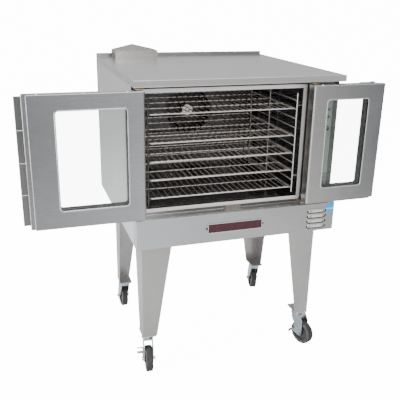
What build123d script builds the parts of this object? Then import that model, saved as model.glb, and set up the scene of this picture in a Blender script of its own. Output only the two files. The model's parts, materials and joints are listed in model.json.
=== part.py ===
"""Full-size gas convection oven on four tapered legs with casters, both doors swung fully open.

Oven coordinates used below: x from the left side of the body, y back from the front of the
body, z up from the floor, in millimetres.  at() turns them into the row frame, whose origin is
on the floor under the centre of the outline with the doors open.
"""

import math
import os

from build123d import *

os.makedirs("parts", exist_ok=True)

# ------------------------------------------------------------------ driving dimensions
BODY_W = 965.0            # 38 in body, side to side
BODY_D = 965.0            # front lip to rear panel
BODY_H = 735.0            # underside to top
LEG_H = 503.0             # leg, from caster plate to body
CASTER_H = 185.0          # caster, floor to top plate
SHEET = 1.5               # outer sheet metal
LIP_H = 27.5              # fold-down of the top panel
LOWER_PANEL_H = 137.0
FRAME_SETBACK = 56.0      # front frame behind the front of the body
PANEL_GAP = 0.3           # between sheets that lap each other

CAVITY_W = 737.0          # 29 in
CAVITY_H = 506.0          # 20 in
CAVITY_D = 634.0
CAVITY_LEFT = 47.0        # left wall, from the body's left side
CAVITY_DROP = 59.0        # ceiling, from the body's top
LINER_T = 2.0
BEAD_W = 17.0             # bright bead round the opening
BEAD_PROUD = 2.5

DOOR_H = 540.0
DOOR_TOP_GAP = 9.0
DOOR_OUT = -6.0           # outer face of a closed door
DOOR_IN = 48.0            # inner face of a closed door
LEFT_LEAF_W = 468.5
MEETING_GAP = 4.0
STEP_W = 17.0             # step of the left leaf's inner pan at its free edge
RIGHT_STEP_W = 26.0
STEP_DEPTH = 12.0
HINGE_CHAMFER = 6.0
ASTRAGAL_W = 27.0
WINDOW_H = 403.0
WINDOW_DROP = 64.0        # window top, from the door's top
LEFT_WINDOW_W = 278.0
LEFT_WINDOW_SIDE = 71.0   # from the leaf's hinge edge
RIGHT_WINDOW_W = 205.0
RIGHT_WINDOW_SIDE = 70.0
WINDOW_CORNER = 12.0
GLASS_T = 4.0
GLASS_LAP = 12.0
PIVOT_Y = 2.0
PIN_R = 5.0
RUNNING = 0.05            # radial clearance of pins and axles
SIDE_GAP = 3.0
LEFT_PIVOT_INSET = 17.0
RIGHT_PIVOT_INSET = 24.0
PIVOT_TO_CAVITY = 27.0

RACK_D = 535.0
RACK_PITCH = 41.3
RACK_FLOOR = 43.0         # lowest rack above the cavity floor
RACK_SLOTS = (0, 2, 4, 6, 9)
GUIDE_SLOTS = 11
RACK_SIDE = 29.5          # axis of a rack's side bar to the cavity wall
RACK_ROD = 3.2
WIRE_R = 1.8
WIRES = 24
GUIDE_ROD = 3.0
RAIL_R = 2.5
RACK_FRONT = 62.0

LEG_INSET = 42.0
LEG_FRONT = 97.0
LEG_REAR = 768.0
LEG_TOP_W = 149.0
LEG_FOOT_W = 71.0
LEG_T = 2.5
LEG_BEND = 6.0

WHEEL_R = 63.5
WHEEL_W = 32.0
RIM_R = 46.0
AXLE_R = 6.0
TRAIL = 45.0
FORK_T = 3.5
CASTER_PLATE_W = 66.0
CASTER_PLATE_L = 92.0
PLATE_BOLT_INSET = 9.0      # bolt centre in from the plate's edges
CASTER_ANGLES = {"front_left": 263.0, "front_right": 292.0, "rear_left": 93.0, "rear_right": 80.0}

FAN_R = 150.0
FAN_DROP = 187.0          # fan centre below the cavity ceiling
BAFFLE_GAP = 78.0         # baffle in front of the liner's back
HOOD_W = 226.0
HOOD_D = 118.0
HOOD_H = 41.0
HOOD_RISE = 25.0
HOOD_LEFT = 78.0
HOOD_BACK_GAP = 35.0
UPSTAND = 17.0
GAS_R = 13.35             # 3/4 in pipe
GAS_STUB = 20.0           # stands out of the rear panel
GLAND_R = 8.0

# ------------------------------------------------------------------ places worked out from them
LEG_FOOT = CASTER_H
BODY_BOTTOM = CASTER_H + LEG_H
BODY_TOP = BODY_BOTTOM + BODY_H
LIP_BOTTOM = BODY_TOP - LIP_H
LEDGE = BODY_BOTTOM + LOWER_PANEL_H
CAVITY_RIGHT = CAVITY_LEFT + CAVITY_W
CAVITY_TOP = BODY_TOP - CAVITY_DROP
CAVITY_BOTTOM = CAVITY_TOP - CAVITY_H
CAVITY_MID = (CAVITY_LEFT + CAVITY_RIGHT) / 2
FRAME_BACK = FRAME_SETBACK + SHEET
CAVITY_BACK = FRAME_BACK + CAVITY_D
DOOR_TOP = LIP_BOTTOM - DOOR_TOP_GAP
DOOR_BOTTOM = DOOR_TOP - DOOR_H
LEFT_PIVOT = SIDE_GAP + LEFT_PIVOT_INSET
RIGHT_PIVOT = CAVITY_RIGHT + PIVOT_TO_CAVITY
MEETING = SIDE_GAP + LEFT_LEAF_W
RIGHT_EDGE = RIGHT_PIVOT + RIGHT_PIVOT_INSET
PANEL_LEFT = RIGHT_EDGE + 4.0
FAN_Z = CAVITY_TOP - FAN_DROP
BAFFLE_Y = CAVITY_BACK - BAFFLE_GAP
OPEN_LEFT = 2 * LEFT_PIVOT - (MEETING + ASTRAGAL_W)
OPEN_RIGHT = 2 * RIGHT_PIVOT - (MEETING + MEETING_GAP)
OPEN_FRONT = 2 * PIVOT_Y - DOOR_IN
ORIGIN_X = (OPEN_LEFT + OPEN_RIGHT) / 2
ORIGIN_Y = (OPEN_FRONT + BODY_D + GAS_STUB) / 2


# ------------------------------------------------------------------ helpers
def at(x, y, z):
    """Oven coordinates to the row frame."""
    return (x - ORIGIN_X, y - ORIGIN_Y, z)


def slab(x, y, z, mode=Mode.ADD):
    """A rectangular block between two values on each axis, in the part being built."""
    (x0, x1), (y0, y1), (z0, z1) = sorted(x), sorted(y), sorted(z)
    with Locations(at((x0 + x1) / 2, (y0 + y1) / 2, (z0 + z1) / 2)):
        Box(x1 - x0, y1 - y0, z1 - z0, mode=mode)


def rod(start, way, length, radius, mode=Mode.ADD):
    """A round bar from a point (oven coordinates) along a direction."""
    with Locations(Plane(origin=at(*start), z_dir=way)):
        Cylinder(radius, length, align=(Align.CENTER, Align.CENTER, Align.MIN), mode=mode)


def save(builder, name):
    """Label a finished piece and write it."""
    builder.part.label = name
    export_step(builder.part, f"parts/{name}.step")


def upright(solid_edges):
    return solid_edges.filter_by(Axis.Z)


# ------------------------------------------------------------------ outer casing
with BuildPart() as top_panel:
    slab((0, BODY_W), (0, BODY_D - SHEET - PANEL_GAP), (LIP_BOTTOM, BODY_TOP))
    fillet(top_panel.faces().sort_by(Axis.Z)[-1].edges().sort_by(Axis.Y)[:3], 2.4)
    slab((SHEET, BODY_W - SHEET), (SHEET, BODY_D), (LIP_BOTTOM - 1, BODY_TOP - SHEET), Mode.SUBTRACT)
save(top_panel, "top_panel")

SIDE_OUT = SHEET + PANEL_GAP
RETURN_W = 20.0
with BuildPart() as left_side_panel:
    slab((SIDE_OUT, SIDE_OUT + SHEET), (FRAME_BACK + PANEL_GAP, BODY_D - SHEET - PANEL_GAP),
         (BODY_BOTTOM, BODY_TOP - SIDE_OUT))
    slab((SIDE_OUT, SIDE_OUT + RETURN_W), (FRAME_BACK + PANEL_GAP, FRAME_BACK + PANEL_GAP + SHEET),
         (BODY_BOTTOM, BODY_TOP - SIDE_OUT))
save(left_side_panel, "left_side_panel")

with BuildPart() as right_side_panel:
    slab((BODY_W - SIDE_OUT - SHEET, BODY_W - SIDE_OUT),
         (FRAME_SETBACK, BODY_D - SHEET - PANEL_GAP), (BODY_BOTTOM, BODY_TOP - SIDE_OUT))
    slab((BODY_W - SIDE_OUT - RETURN_W, BODY_W - SIDE_OUT), (FRAME_SETBACK, FRAME_BACK),
         (BODY_BOTTOM, BODY_TOP - SIDE_OUT))
save(right_side_panel, "right_side_panel")

GAS_X = BODY_W - 120.0
GAS_Z = BODY_BOTTOM + 42.0
GLAND_X = BODY_W - 70.0
GLAND_Z = BODY_BOTTOM + 130.0
VENT_ROWS = 6
with BuildPart() as rear_panel:
    slab((0, BODY_W), (BODY_D - SHEET, BODY_D), (BODY_BOTTOM, BODY_TOP + UPSTAND))
    slab((0, BODY_W), (BODY_D - 10, BODY_D), (BODY_TOP + UPSTAND - SHEET, BODY_TOP + UPSTAND))
    for row in range(VENT_ROWS):
        vent_z = BODY_BOTTOM + 300 + row * 22
        slab((CAVITY_MID - 90, CAVITY_MID + 90), (BODY_D - 5, BODY_D + 1), (vent_z, vent_z + 5),
             Mode.SUBTRACT)
    rod((GAS_X, BODY_D - 5, GAS_Z), (0, 1, 0), 10, GAS_R + 3, Mode.SUBTRACT)
    rod((GLAND_X, BODY_D - 5, GLAND_Z), (0, 1, 0), 10, GLAND_R + 2.5, Mode.SUBTRACT)
save(rear_panel, "rear_panel")

BASE_Z = BODY_BOTTOM + 2.0
with BuildPart() as base_pan:
    slab((SIDE_OUT + SHEET + PANEL_GAP, BODY_W - SIDE_OUT - SHEET - PANEL_GAP),
         (FRAME_BACK + 2.5, BODY_D - SHEET - PANEL_GAP), (BASE_Z, BASE_Z + 2.5))
    for beam_x in (LEG_INSET + 60, BODY_W - LEG_INSET - 60):
        slab((beam_x - 20, beam_x + 20), (FRAME_BACK + 30, BODY_D - 60), (BASE_Z + 2.5, BASE_Z + 22.5))
save(base_pan, "base_pan")

LOUVRE_W = 86.0
LOUVRE_H = 15.0
LOUVRE_OUT = 8.0
LOUVRE_PITCH = 25.5
LOUVRE_X = 872.0
with BuildPart() as lower_front_panel:
    slab((0, BODY_W), (0, FRAME_SETBACK - PANEL_GAP), (BODY_BOTTOM, LEDGE))
    fillet(lower_front_panel.faces().sort_by(Axis.Y)[0].edges(), 2.4)
    slab((SHEET, BODY_W - SHEET), (SHEET, FRAME_SETBACK + 1), (BODY_BOTTOM + SHEET, LEDGE - SHEET),
         Mode.SUBTRACT)
    slab((SHEET, BODY_W - SHEET), (24, FRAME_SETBACK + 1), (BODY_BOTTOM - 1, BODY_BOTTOM + 3),
         Mode.SUBTRACT)
    for row in range(4):
        z = LEDGE - 34 - row * LOUVRE_PITCH
        with BuildSketch(Plane(origin=at(LOUVRE_X, 1, z), x_dir=(1, 0, 0),
                               z_dir=(0, -1, 0))) as hood_outline:
            SlotOverall(LOUVRE_W, LOUVRE_H)
        extrude(amount=LOUVRE_OUT, taper=25)
        slab((LOUVRE_X - LOUVRE_W / 2 + LOUVRE_H / 2, LOUVRE_X + LOUVRE_W / 2 - LOUVRE_H / 2),
             (3 - LOUVRE_OUT, 5), (z - LOUVRE_H / 2 - 2, z + 1.5), Mode.SUBTRACT)
save(lower_front_panel, "lower_front_panel")

PLATE_X = 458.0
NAMEPLATE_W = 262.0
NAMEPLATE_H = 44.0
PLATE_Z = LEDGE - 68.0
with BuildPart() as nameplate:
    with BuildSketch(Plane(origin=at(PLATE_X, -PANEL_GAP / 3, PLATE_Z), x_dir=(1, 0, 0),
                           z_dir=(0, -1, 0))) as plate:
        RectangleRounded(NAMEPLATE_W, NAMEPLATE_H, 4)
    extrude(amount=2.2)
    chamfer(nameplate.faces().sort_by(Axis.Y)[0].edges(), 0.8)
    for dx in (-NAMEPLATE_W / 2 - 4, NAMEPLATE_W / 2 + 4):
        rod((PLATE_X + dx, -PANEL_GAP / 3, PLATE_Z), (0, -1, 0), 2, 5.5)
save(nameplate, "nameplate")

# ------------------------------------------------------------------ front frame
GASKET_W = 6.0
with BuildPart() as front_frame:
    left_stile = (SIDE_OUT, CAVITY_LEFT)
    right_stile = (CAVITY_RIGHT, PANEL_LEFT - PANEL_GAP)
    full = (left_stile[0], right_stile[1])
    slab(left_stile, (FRAME_SETBACK, FRAME_BACK), (LEDGE + PANEL_GAP, BODY_TOP - SIDE_OUT))
    slab(right_stile, (FRAME_SETBACK, FRAME_BACK), (LEDGE + PANEL_GAP, BODY_TOP - SIDE_OUT))
    slab(full, (FRAME_SETBACK, FRAME_BACK), (CAVITY_TOP, BODY_TOP - SIDE_OUT))
    slab(full, (FRAME_SETBACK, FRAME_BACK), (LEDGE + PANEL_GAP, CAVITY_BOTTOM))
    with BuildSketch(Plane(origin=at(CAVITY_MID, FRAME_SETBACK, CAVITY_BOTTOM + CAVITY_H / 2),
                           x_dir=(1, 0, 0), z_dir=(0, -1, 0))) as bead:
        RectangleRounded(CAVITY_W + 2 * BEAD_W, CAVITY_H + 2 * BEAD_W, 6)
        Rectangle(CAVITY_W, CAVITY_H, mode=Mode.SUBTRACT)
    extrude(amount=BEAD_PROUD, taper=12)
save(front_frame, "front_frame")

gasket_in = BEAD_W + 1.5
with BuildPart() as frame_gasket:
    gx = (CAVITY_LEFT - gasket_in, CAVITY_RIGHT + gasket_in)
    gy = (FRAME_SETBACK - 3.7, FRAME_SETBACK - PANEL_GAP / 3)
    gz = (CAVITY_BOTTOM, CAVITY_TOP + gasket_in)
    slab((gx[0] - GASKET_W, gx[0]), gy, (gz[0], gz[1] + GASKET_W))
    slab((gx[1], gx[1] + GASKET_W), gy, (gz[0], gz[1] + GASKET_W))
    slab((gx[0], gx[1]), gy, (gz[1], gz[1] + GASKET_W))
    chamfer(frame_gasket.faces().sort_by(Axis.Y)[0].edges(), 1.2)
save(frame_gasket, "frame_gasket")

# ------------------------------------------------------------------ control panel and controls
PANEL_Y = 50.0
PANEL_RIGHT = BODY_W - SIDE_OUT - RETURN_W - PANEL_GAP
PANEL_TOP = LIP_BOTTOM + 10.0
KNOB_X = PANEL_LEFT + 29.0
KNOB_R = 19.0
KNOB_DEPTH = 31.0
THERMOSTAT_Z = BODY_TOP - 150.0
TIMER_Z = BODY_TOP - 235.0
SWITCH_X = PANEL_RIGHT - 26.0
SWITCH_Z = BODY_TOP - 250.0
LAMP_Z = BODY_TOP - 194.0
SHAFT_R = 3.0
with BuildPart() as control_panel:
    slab((PANEL_LEFT, PANEL_RIGHT), (PANEL_Y, FRAME_SETBACK + 8), (LEDGE + 1.5, PANEL_TOP))
    slab((PANEL_LEFT + SHEET, PANEL_RIGHT - SHEET), (PANEL_Y + SHEET, FRAME_SETBACK + 9),
         (LEDGE + 1, PANEL_TOP + 1), Mode.SUBTRACT)
    for z in (THERMOSTAT_Z, TIMER_Z):
        rod((KNOB_X, PANEL_Y - 1, z), (0, 1, 0), 5, SHAFT_R + 0.6, Mode.SUBTRACT)
    rod((SWITCH_X, PANEL_Y - 1, LAMP_Z), (0, 1, 0), 5, 4.3, Mode.SUBTRACT)
    rod((SWITCH_X, PANEL_Y - 1, LAMP_Z + 34), (0, 1, 0), 5, 4.3, Mode.SUBTRACT)
    slab((SWITCH_X - 7.5, SWITCH_X + 7.5), (PANEL_Y - 1, PANEL_Y + 4), (SWITCH_Z - 12.5, SWITCH_Z + 12.5),
         Mode.SUBTRACT)
    slab((SWITCH_X - 22, SWITCH_X + 16), (PANEL_Y - 1, PANEL_Y + 4), (LEDGE + 132, LEDGE + 135),
         Mode.SUBTRACT)
save(control_panel, "control_panel")

for name, z in (("thermostat_knob", THERMOSTAT_Z), ("timer_knob", TIMER_Z)):
    front = PANEL_Y - PANEL_GAP - KNOB_DEPTH
    with BuildPart() as knob:
        with BuildSketch(Plane(origin=at(KNOB_X, PANEL_Y - PANEL_GAP, z), x_dir=(1, 0, 0),
                               z_dir=(0, -1, 0))) as skirt:
            Circle(KNOB_R)
        extrude(amount=7)
        chamfer(knob.faces().sort_by(Axis.Y)[0].edges(), 1.5)
        with BuildSketch(Plane(origin=at(KNOB_X, PANEL_Y - PANEL_GAP - 6, z), x_dir=(1, 0, 0),
                               z_dir=(0, -1, 0))) as grip:
            Circle(KNOB_R - 5)
            with PolarLocations(KNOB_R - 4.2, 12):
                Circle(1.8, mode=Mode.SUBTRACT)
        extrude(amount=KNOB_DEPTH - 6, taper=3)
        slab((KNOB_X - 0.8, KNOB_X + 0.8), (front - 1, front + 1.2), (z + 2, z + KNOB_R), Mode.SUBTRACT)
        rod((KNOB_X, PANEL_Y - PANEL_GAP - 1, z), (0, 1, 0), 20, SHAFT_R)
    save(knob, name)

with BuildPart() as power_switch:
    with BuildSketch(Plane(origin=at(SWITCH_X, PANEL_Y + 2, SWITCH_Z), x_dir=(1, 0, 0),
                           z_dir=(0, -1, 0))) as paddle:
        Rectangle(11, 18)
    extrude(amount=5.5, taper=4)
    rod((SWITCH_X - 6.5, PANEL_Y + 5, SWITCH_Z), (1, 0, 0), 13, 3)
    slab((SWITCH_X - 5.5, SWITCH_X + 5.5), (PANEL_Y + 1.9, PANEL_Y + 5), (SWITCH_Z - 3, SWITCH_Z + 3))
save(power_switch, "power_switch")

with BuildPart() as pilot_lamps:
    for z in (LAMP_Z, LAMP_Z + 34):
        rod((SWITCH_X, PANEL_Y - 3, z), (0, 1, 0), 16, 4)
        rod((SWITCH_X, PANEL_Y - 3, z), (0, 1, 0), 3 - 0.05, 6)
    fillet(pilot_lamps.faces().sort_by(Axis.Y)[:2].edges(), 1.2)
save(pilot_lamps, "pilot_lamps")

# ------------------------------------------------------------------ cavity
liner_y = (FRAME_BACK + PANEL_GAP, CAVITY_BACK)
with BuildPart() as cavity_liner:
    slab((CAVITY_LEFT - LINER_T, CAVITY_RIGHT + LINER_T), liner_y, (CAVITY_TOP, CAVITY_TOP + LINER_T))
    slab((CAVITY_LEFT - LINER_T, CAVITY_RIGHT + LINER_T), liner_y, (CAVITY_BOTTOM - LINER_T, CAVITY_BOTTOM))
    slab((CAVITY_LEFT - LINER_T, CAVITY_LEFT), liner_y, (CAVITY_BOTTOM, CAVITY_TOP))
    slab((CAVITY_RIGHT, CAVITY_RIGHT + LINER_T), liner_y, (CAVITY_BOTTOM, CAVITY_TOP))
    slab((CAVITY_LEFT - LINER_T, CAVITY_RIGHT + LINER_T), (CAVITY_BACK, CAVITY_BACK + LINER_T),
         (CAVITY_BOTTOM - LINER_T, CAVITY_TOP + LINER_T))
    rod((CAVITY_MID, CAVITY_BACK - 1, FAN_Z), (0, 1, 0), 5, 14, Mode.SUBTRACT)
save(cavity_liner, "cavity_liner")

INLET_R = 118.0
with BuildPart() as fan_baffle:
    slab((CAVITY_LEFT + 26, CAVITY_RIGHT - 26), (BAFFLE_Y, BAFFLE_Y + SHEET),
         (CAVITY_BOTTOM + 14, CAVITY_TOP - 14))
    rod((CAVITY_MID, BAFFLE_Y - 1, FAN_Z), (0, 1, 0), 5, INLET_R, Mode.SUBTRACT)
    with BuildSketch(Plane(origin=at(CAVITY_MID, BAFFLE_Y, FAN_Z), x_dir=(1, 0, 0),
                           z_dir=(0, -1, 0))) as inlet_ring:
        Circle(INLET_R + 8)
        Circle(INLET_R, mode=Mode.SUBTRACT)
    extrude(amount=5, taper=20)
    for x in (CAVITY_LEFT + 32, CAVITY_RIGHT - 32):
        for z in (CAVITY_BOTTOM + 60, CAVITY_TOP - 60):
            rod((x, BAFFLE_Y + SHEET, z), (0, 1, 0), BAFFLE_GAP - SHEET - 0.05, 5)
save(fan_baffle, "fan_baffle")

SHAFT_FAN_R = 9.0
MOTOR_Y = CAVITY_BACK + 62.0
MOTOR_R = 72.0
MOTOR_L = 130.0
WHEEL_BACK = CAVITY_BACK - 12.0
BLADES = 12
with BuildPart() as fan_wheel:
    rod((CAVITY_MID, WHEEL_BACK - 3, FAN_Z), (0, 1, 0), 3, FAN_R)
    rod((CAVITY_MID, WHEEL_BACK - 45, FAN_Z), (0, 1, 0), 45, 26)
    rod((CAVITY_MID, WHEEL_BACK - 52, FAN_Z), (0, 1, 0), MOTOR_Y + 20 - WHEEL_BACK + 52, SHAFT_FAN_R)
    with BuildSketch(Plane(origin=at(CAVITY_MID, WHEEL_BACK - 2.5, FAN_Z), x_dir=(1, 0, 0),
                           z_dir=(0, -1, 0))) as blades:
        with PolarLocations(FAN_R - 32, BLADES):
            Rectangle(56, 2)
    extrude(amount=45)
    with BuildSketch(Plane(origin=at(CAVITY_MID, WHEEL_BACK - 44, FAN_Z), x_dir=(1, 0, 0),
                           z_dir=(0, -1, 0))) as front_ring:
        Circle(FAN_R)
        Circle(FAN_R - 22, mode=Mode.SUBTRACT)
    extrude(amount=2.5)
save(fan_wheel, "fan_wheel")

with BuildPart() as fan_motor:
    rod((CAVITY_MID, MOTOR_Y, FAN_Z), (0, 1, 0), MOTOR_L, MOTOR_R)
    fillet(fan_motor.edges().filter_by(GeomType.CIRCLE), 8)
    rod((CAVITY_MID, MOTOR_Y - 8, FAN_Z), (0, 1, 0), 12, 26)
    slab((CAVITY_MID - 90, CAVITY_MID + 90), (MOTOR_Y + 30, MOTOR_Y + 36), (FAN_Z - 95, FAN_Z + 95))
    rod((CAVITY_MID, MOTOR_Y - 9, FAN_Z), (0, 1, 0), 33, SHAFT_FAN_R + RUNNING, Mode.SUBTRACT)
    for dx in (-75, 75):
        for dz in (-80, 80):
            rod((CAVITY_MID + dx, CAVITY_BACK + 40, FAN_Z + dz), (0, 1, 0),
                MOTOR_Y + 31 - CAVITY_BACK - 40, 5)
save(fan_motor, "fan_motor")

WOOL_BACK = 36.0
with BuildPart() as insulation:
    wool_top = (CAVITY_TOP + LINER_T + 1, BODY_TOP - SIDE_OUT - 2)
    wool_y = (FRAME_BACK + 4, CAVITY_BACK + LINER_T)
    wall = (CAVITY_BOTTOM - LINER_T, CAVITY_TOP + LINER_T)
    slab((SIDE_OUT + SHEET + 2, PANEL_LEFT - 3), wool_y, wool_top)
    slab((SIDE_OUT + SHEET + 2, CAVITY_LEFT - LINER_T - 1), wool_y, wall)
    slab((CAVITY_RIGHT + LINER_T + 1, PANEL_LEFT - 3), wool_y, wall)
    slab((CAVITY_LEFT, CAVITY_RIGHT), wool_y, (CAVITY_BOTTOM - LINER_T - 22, CAVITY_BOTTOM - LINER_T - 1))
    slab((SIDE_OUT + SHEET + 2, PANEL_LEFT - 3),
         (CAVITY_BACK + LINER_T + 1, CAVITY_BACK + LINER_T + WOOL_BACK),
         (CAVITY_BOTTOM, CAVITY_TOP))
    rod((CAVITY_MID, CAVITY_BACK, FAN_Z), (0, 1, 0), WOOL_BACK + 10, 16, Mode.SUBTRACT)
save(insulation, "insulation")

with BuildPart() as thermostat_bulb:
    bulb_x = CAVITY_RIGHT - 12
    rod((bulb_x - 62, FRAME_BACK + 120, CAVITY_TOP - 18), (1, 0, 0), 62, 3.2)
    for x in (bulb_x - 54, bulb_x - 10):
        slab((x, x + 5), (FRAME_BACK + 117, FRAME_BACK + 123), (CAVITY_TOP - 22, CAVITY_TOP - 0.05))
save(thermostat_bulb, "thermostat_bulb")

# ------------------------------------------------------------------ rack guides and racks
RACK_Z = [CAVITY_BOTTOM + RACK_FLOOR + slot * RACK_PITCH for slot in range(GUIDE_SLOTS)]
GUIDE_Y = (RACK_FRONT, RACK_FRONT + 288, RACK_FRONT + RACK_D - 14)
POST_SIDE = RACK_SIDE - RACK_ROD - PANEL_GAP - GUIDE_ROD
RAIL_SIDE = POST_SIDE + GUIDE_ROD + RAIL_R - 0.4
# a side bar lies on its rail, a running gap apart
REST_H = math.sqrt((RACK_ROD + RAIL_R) ** 2 - (RACK_SIDE - RAIL_SIDE) ** 2) + PANEL_GAP
for name, wall_x, way in (("left_rack_guide", CAVITY_LEFT, 1), ("right_rack_guide", CAVITY_RIGHT, -1)):
    post_x = wall_x + way * POST_SIDE
    rail_x = wall_x + way * RAIL_SIDE
    with BuildPart() as guide:
        for y in GUIDE_Y:
            rod((post_x, y, RACK_Z[0] - 26), (0, 0, 1), RACK_Z[-1] - RACK_Z[0] + 52, GUIDE_ROD)
        for z in RACK_Z:
            rod((rail_x, GUIDE_Y[0] - 4, z - REST_H), (0, 1, 0), GUIDE_Y[-1] - GUIDE_Y[0] + 8, RAIL_R)
        for y in GUIDE_Y[:1] + GUIDE_Y[2:]:
            for z in (RACK_Z[1], RACK_Z[-2]):
                slab((wall_x + way * 0.1, post_x), (y - 8, y + 8), (z - 1 + 14, z + 1 + 14))
    save(guide, name)

rack_x = (CAVITY_LEFT + RACK_SIDE, CAVITY_RIGHT - RACK_SIDE)
rack_w = rack_x[1] - rack_x[0]
with BuildPart() as rack_pattern:
    with BuildLine(Plane(origin=at(CAVITY_MID, RACK_FRONT + RACK_D / 2, 0))) as rim_line:
        FilletPolyline((-rack_w / 2, -RACK_D / 2), (rack_w / 2, -RACK_D / 2), (rack_w / 2, RACK_D / 2),
                       (-rack_w / 2, RACK_D / 2), radius=12, close=True)
    with BuildSketch(Plane(origin=at(CAVITY_MID, RACK_FRONT, 0), z_dir=(1, 0, 0))) as rim_section:
        Circle(RACK_ROD)
    sweep()
    for share in (0.25, 0.5, 0.75):
        rod((rack_x[0], RACK_FRONT + share * RACK_D, 0), (1, 0, 0), rack_w, 2.6)
    for wire in range(1, WIRES):
        rod((rack_x[0] + wire * rack_w / WIRES, RACK_FRONT - 1, RACK_ROD + WIRE_R - 0.9), (0, 1, 0),
            RACK_D + 2, WIRE_R)

for number, slot in enumerate(reversed(RACK_SLOTS), start=1):
    with BuildPart() as rack:
        add(rack_pattern.part.moved(Location((0, 0, RACK_Z[slot]))))
    save(rack, f"rack_{number}")

# ------------------------------------------------------------------ gas burners, under the cavity
BURNER_Z = BODY_BOTTOM + 75.0
BURNER_Y = (150.0, 640.0)
with BuildPart() as burner_set:
    for share in (0.2, 0.5, 0.8):
        x = CAVITY_LEFT + share * CAVITY_W
        rod((x, BURNER_Y[0], BURNER_Z), (0, 1, 0), BURNER_Y[1] - BURNER_Y[0], 18)
        rod((x, BURNER_Y[0] - 25, BURNER_Z), (0, 1, 0), 26, 7)
    rod((CAVITY_LEFT + 60, BURNER_Y[0] - 30, BURNER_Z), (1, 0, 0), GAS_X - CAVITY_LEFT - 60, 9)
    slab((GAS_X - 28, GAS_X + 28), (BURNER_Y[0] - 60, BURNER_Y[0] + 20), (GAS_Z - 16, BURNER_Z + 26))
    rod((GAS_X, BURNER_Y[0], GAS_Z), (0, 1, 0), BODY_D - GAS_STUB - BURNER_Y[0], GAS_R - 2.5)
    rod((GAS_X, BODY_D - GAS_STUB, GAS_Z), (0, 1, 0), 2 * GAS_STUB, GAS_R)
save(burner_set, "burner_set")

with BuildPart() as cable_gland:
    rod((GLAND_X, BODY_D - 20, GLAND_Z), (0, 1, 0), 34, GLAND_R + 2.2)
    rod((GLAND_X, BODY_D + PANEL_GAP / 3, GLAND_Z), (0, 1, 0), 9, GLAND_R + 6)
    rod((GLAND_X, BODY_D - 21, GLAND_Z), (0, 1, 0), 40, GLAND_R, Mode.SUBTRACT)
save(cable_gland, "cable_gland")

# ------------------------------------------------------------------ flue hood
HOOD_Y = BODY_D - HOOD_BACK_GAP - HOOD_D
APEX = 4.0                # flat left at the top of the half-pyramid roof
with BuildPart() as flue_hood:
    for grow, mode in ((0, Mode.ADD), (SHEET, Mode.SUBTRACT)):
        eaves_z = BODY_TOP + HOOD_H - grow * 0.4
        low = BODY_TOP + (PANEL_GAP / 3 if mode == Mode.ADD else -2)
        slab((HOOD_LEFT + grow, HOOD_LEFT + HOOD_W - grow), (HOOD_Y + grow, HOOD_Y + HOOD_D + 10 * grow),
             (low, eaves_z), mode)
        with BuildSketch(Plane(origin=at(HOOD_LEFT + HOOD_W / 2, HOOD_Y + HOOD_D + 10 * grow,
                                         eaves_z))) as eaves:
            Rectangle(HOOD_W - 2 * grow, HOOD_D + 9 * grow, align=(Align.CENTER, Align.MAX))
        peak = eaves_z + HOOD_RISE - grow * 0.8
        with BuildSketch(Plane(origin=at(HOOD_LEFT + HOOD_W / 2, HOOD_Y + HOOD_D + 10 * grow,
                                         peak))) as ridge:
            Rectangle(APEX, APEX, align=(Align.CENTER, Align.MAX))
        loft(mode=mode)
save(flue_hood, "flue_hood")


# ------------------------------------------------------------------ doors, drawn closed and turned half a turn
def leaf_slab(pivot, x, y, z, mode=Mode.ADD):
    """A block of a door leaf given where it is when closed, placed where it is when open."""
    slab([2 * pivot - v for v in x], [2 * PIVOT_Y - v for v in y], z, mode)


def leaf_window(pivot, centre_x, width, y, mode=Mode.SUBTRACT):
    """The window opening, through a leaf between two closed depths."""
    z = DOOR_TOP - WINDOW_DROP - WINDOW_H / 2
    plane = Plane(origin=at(2 * pivot - centre_x, 2 * PIVOT_Y - y[0], z), x_dir=(1, 0, 0), z_dir=(0, -1, 0))
    with BuildSketch(plane) as opening:
        RectangleRounded(width, WINDOW_H, WINDOW_CORNER)
    extrude(opening.sketch, amount=y[1] - y[0], mode=mode)


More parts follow.
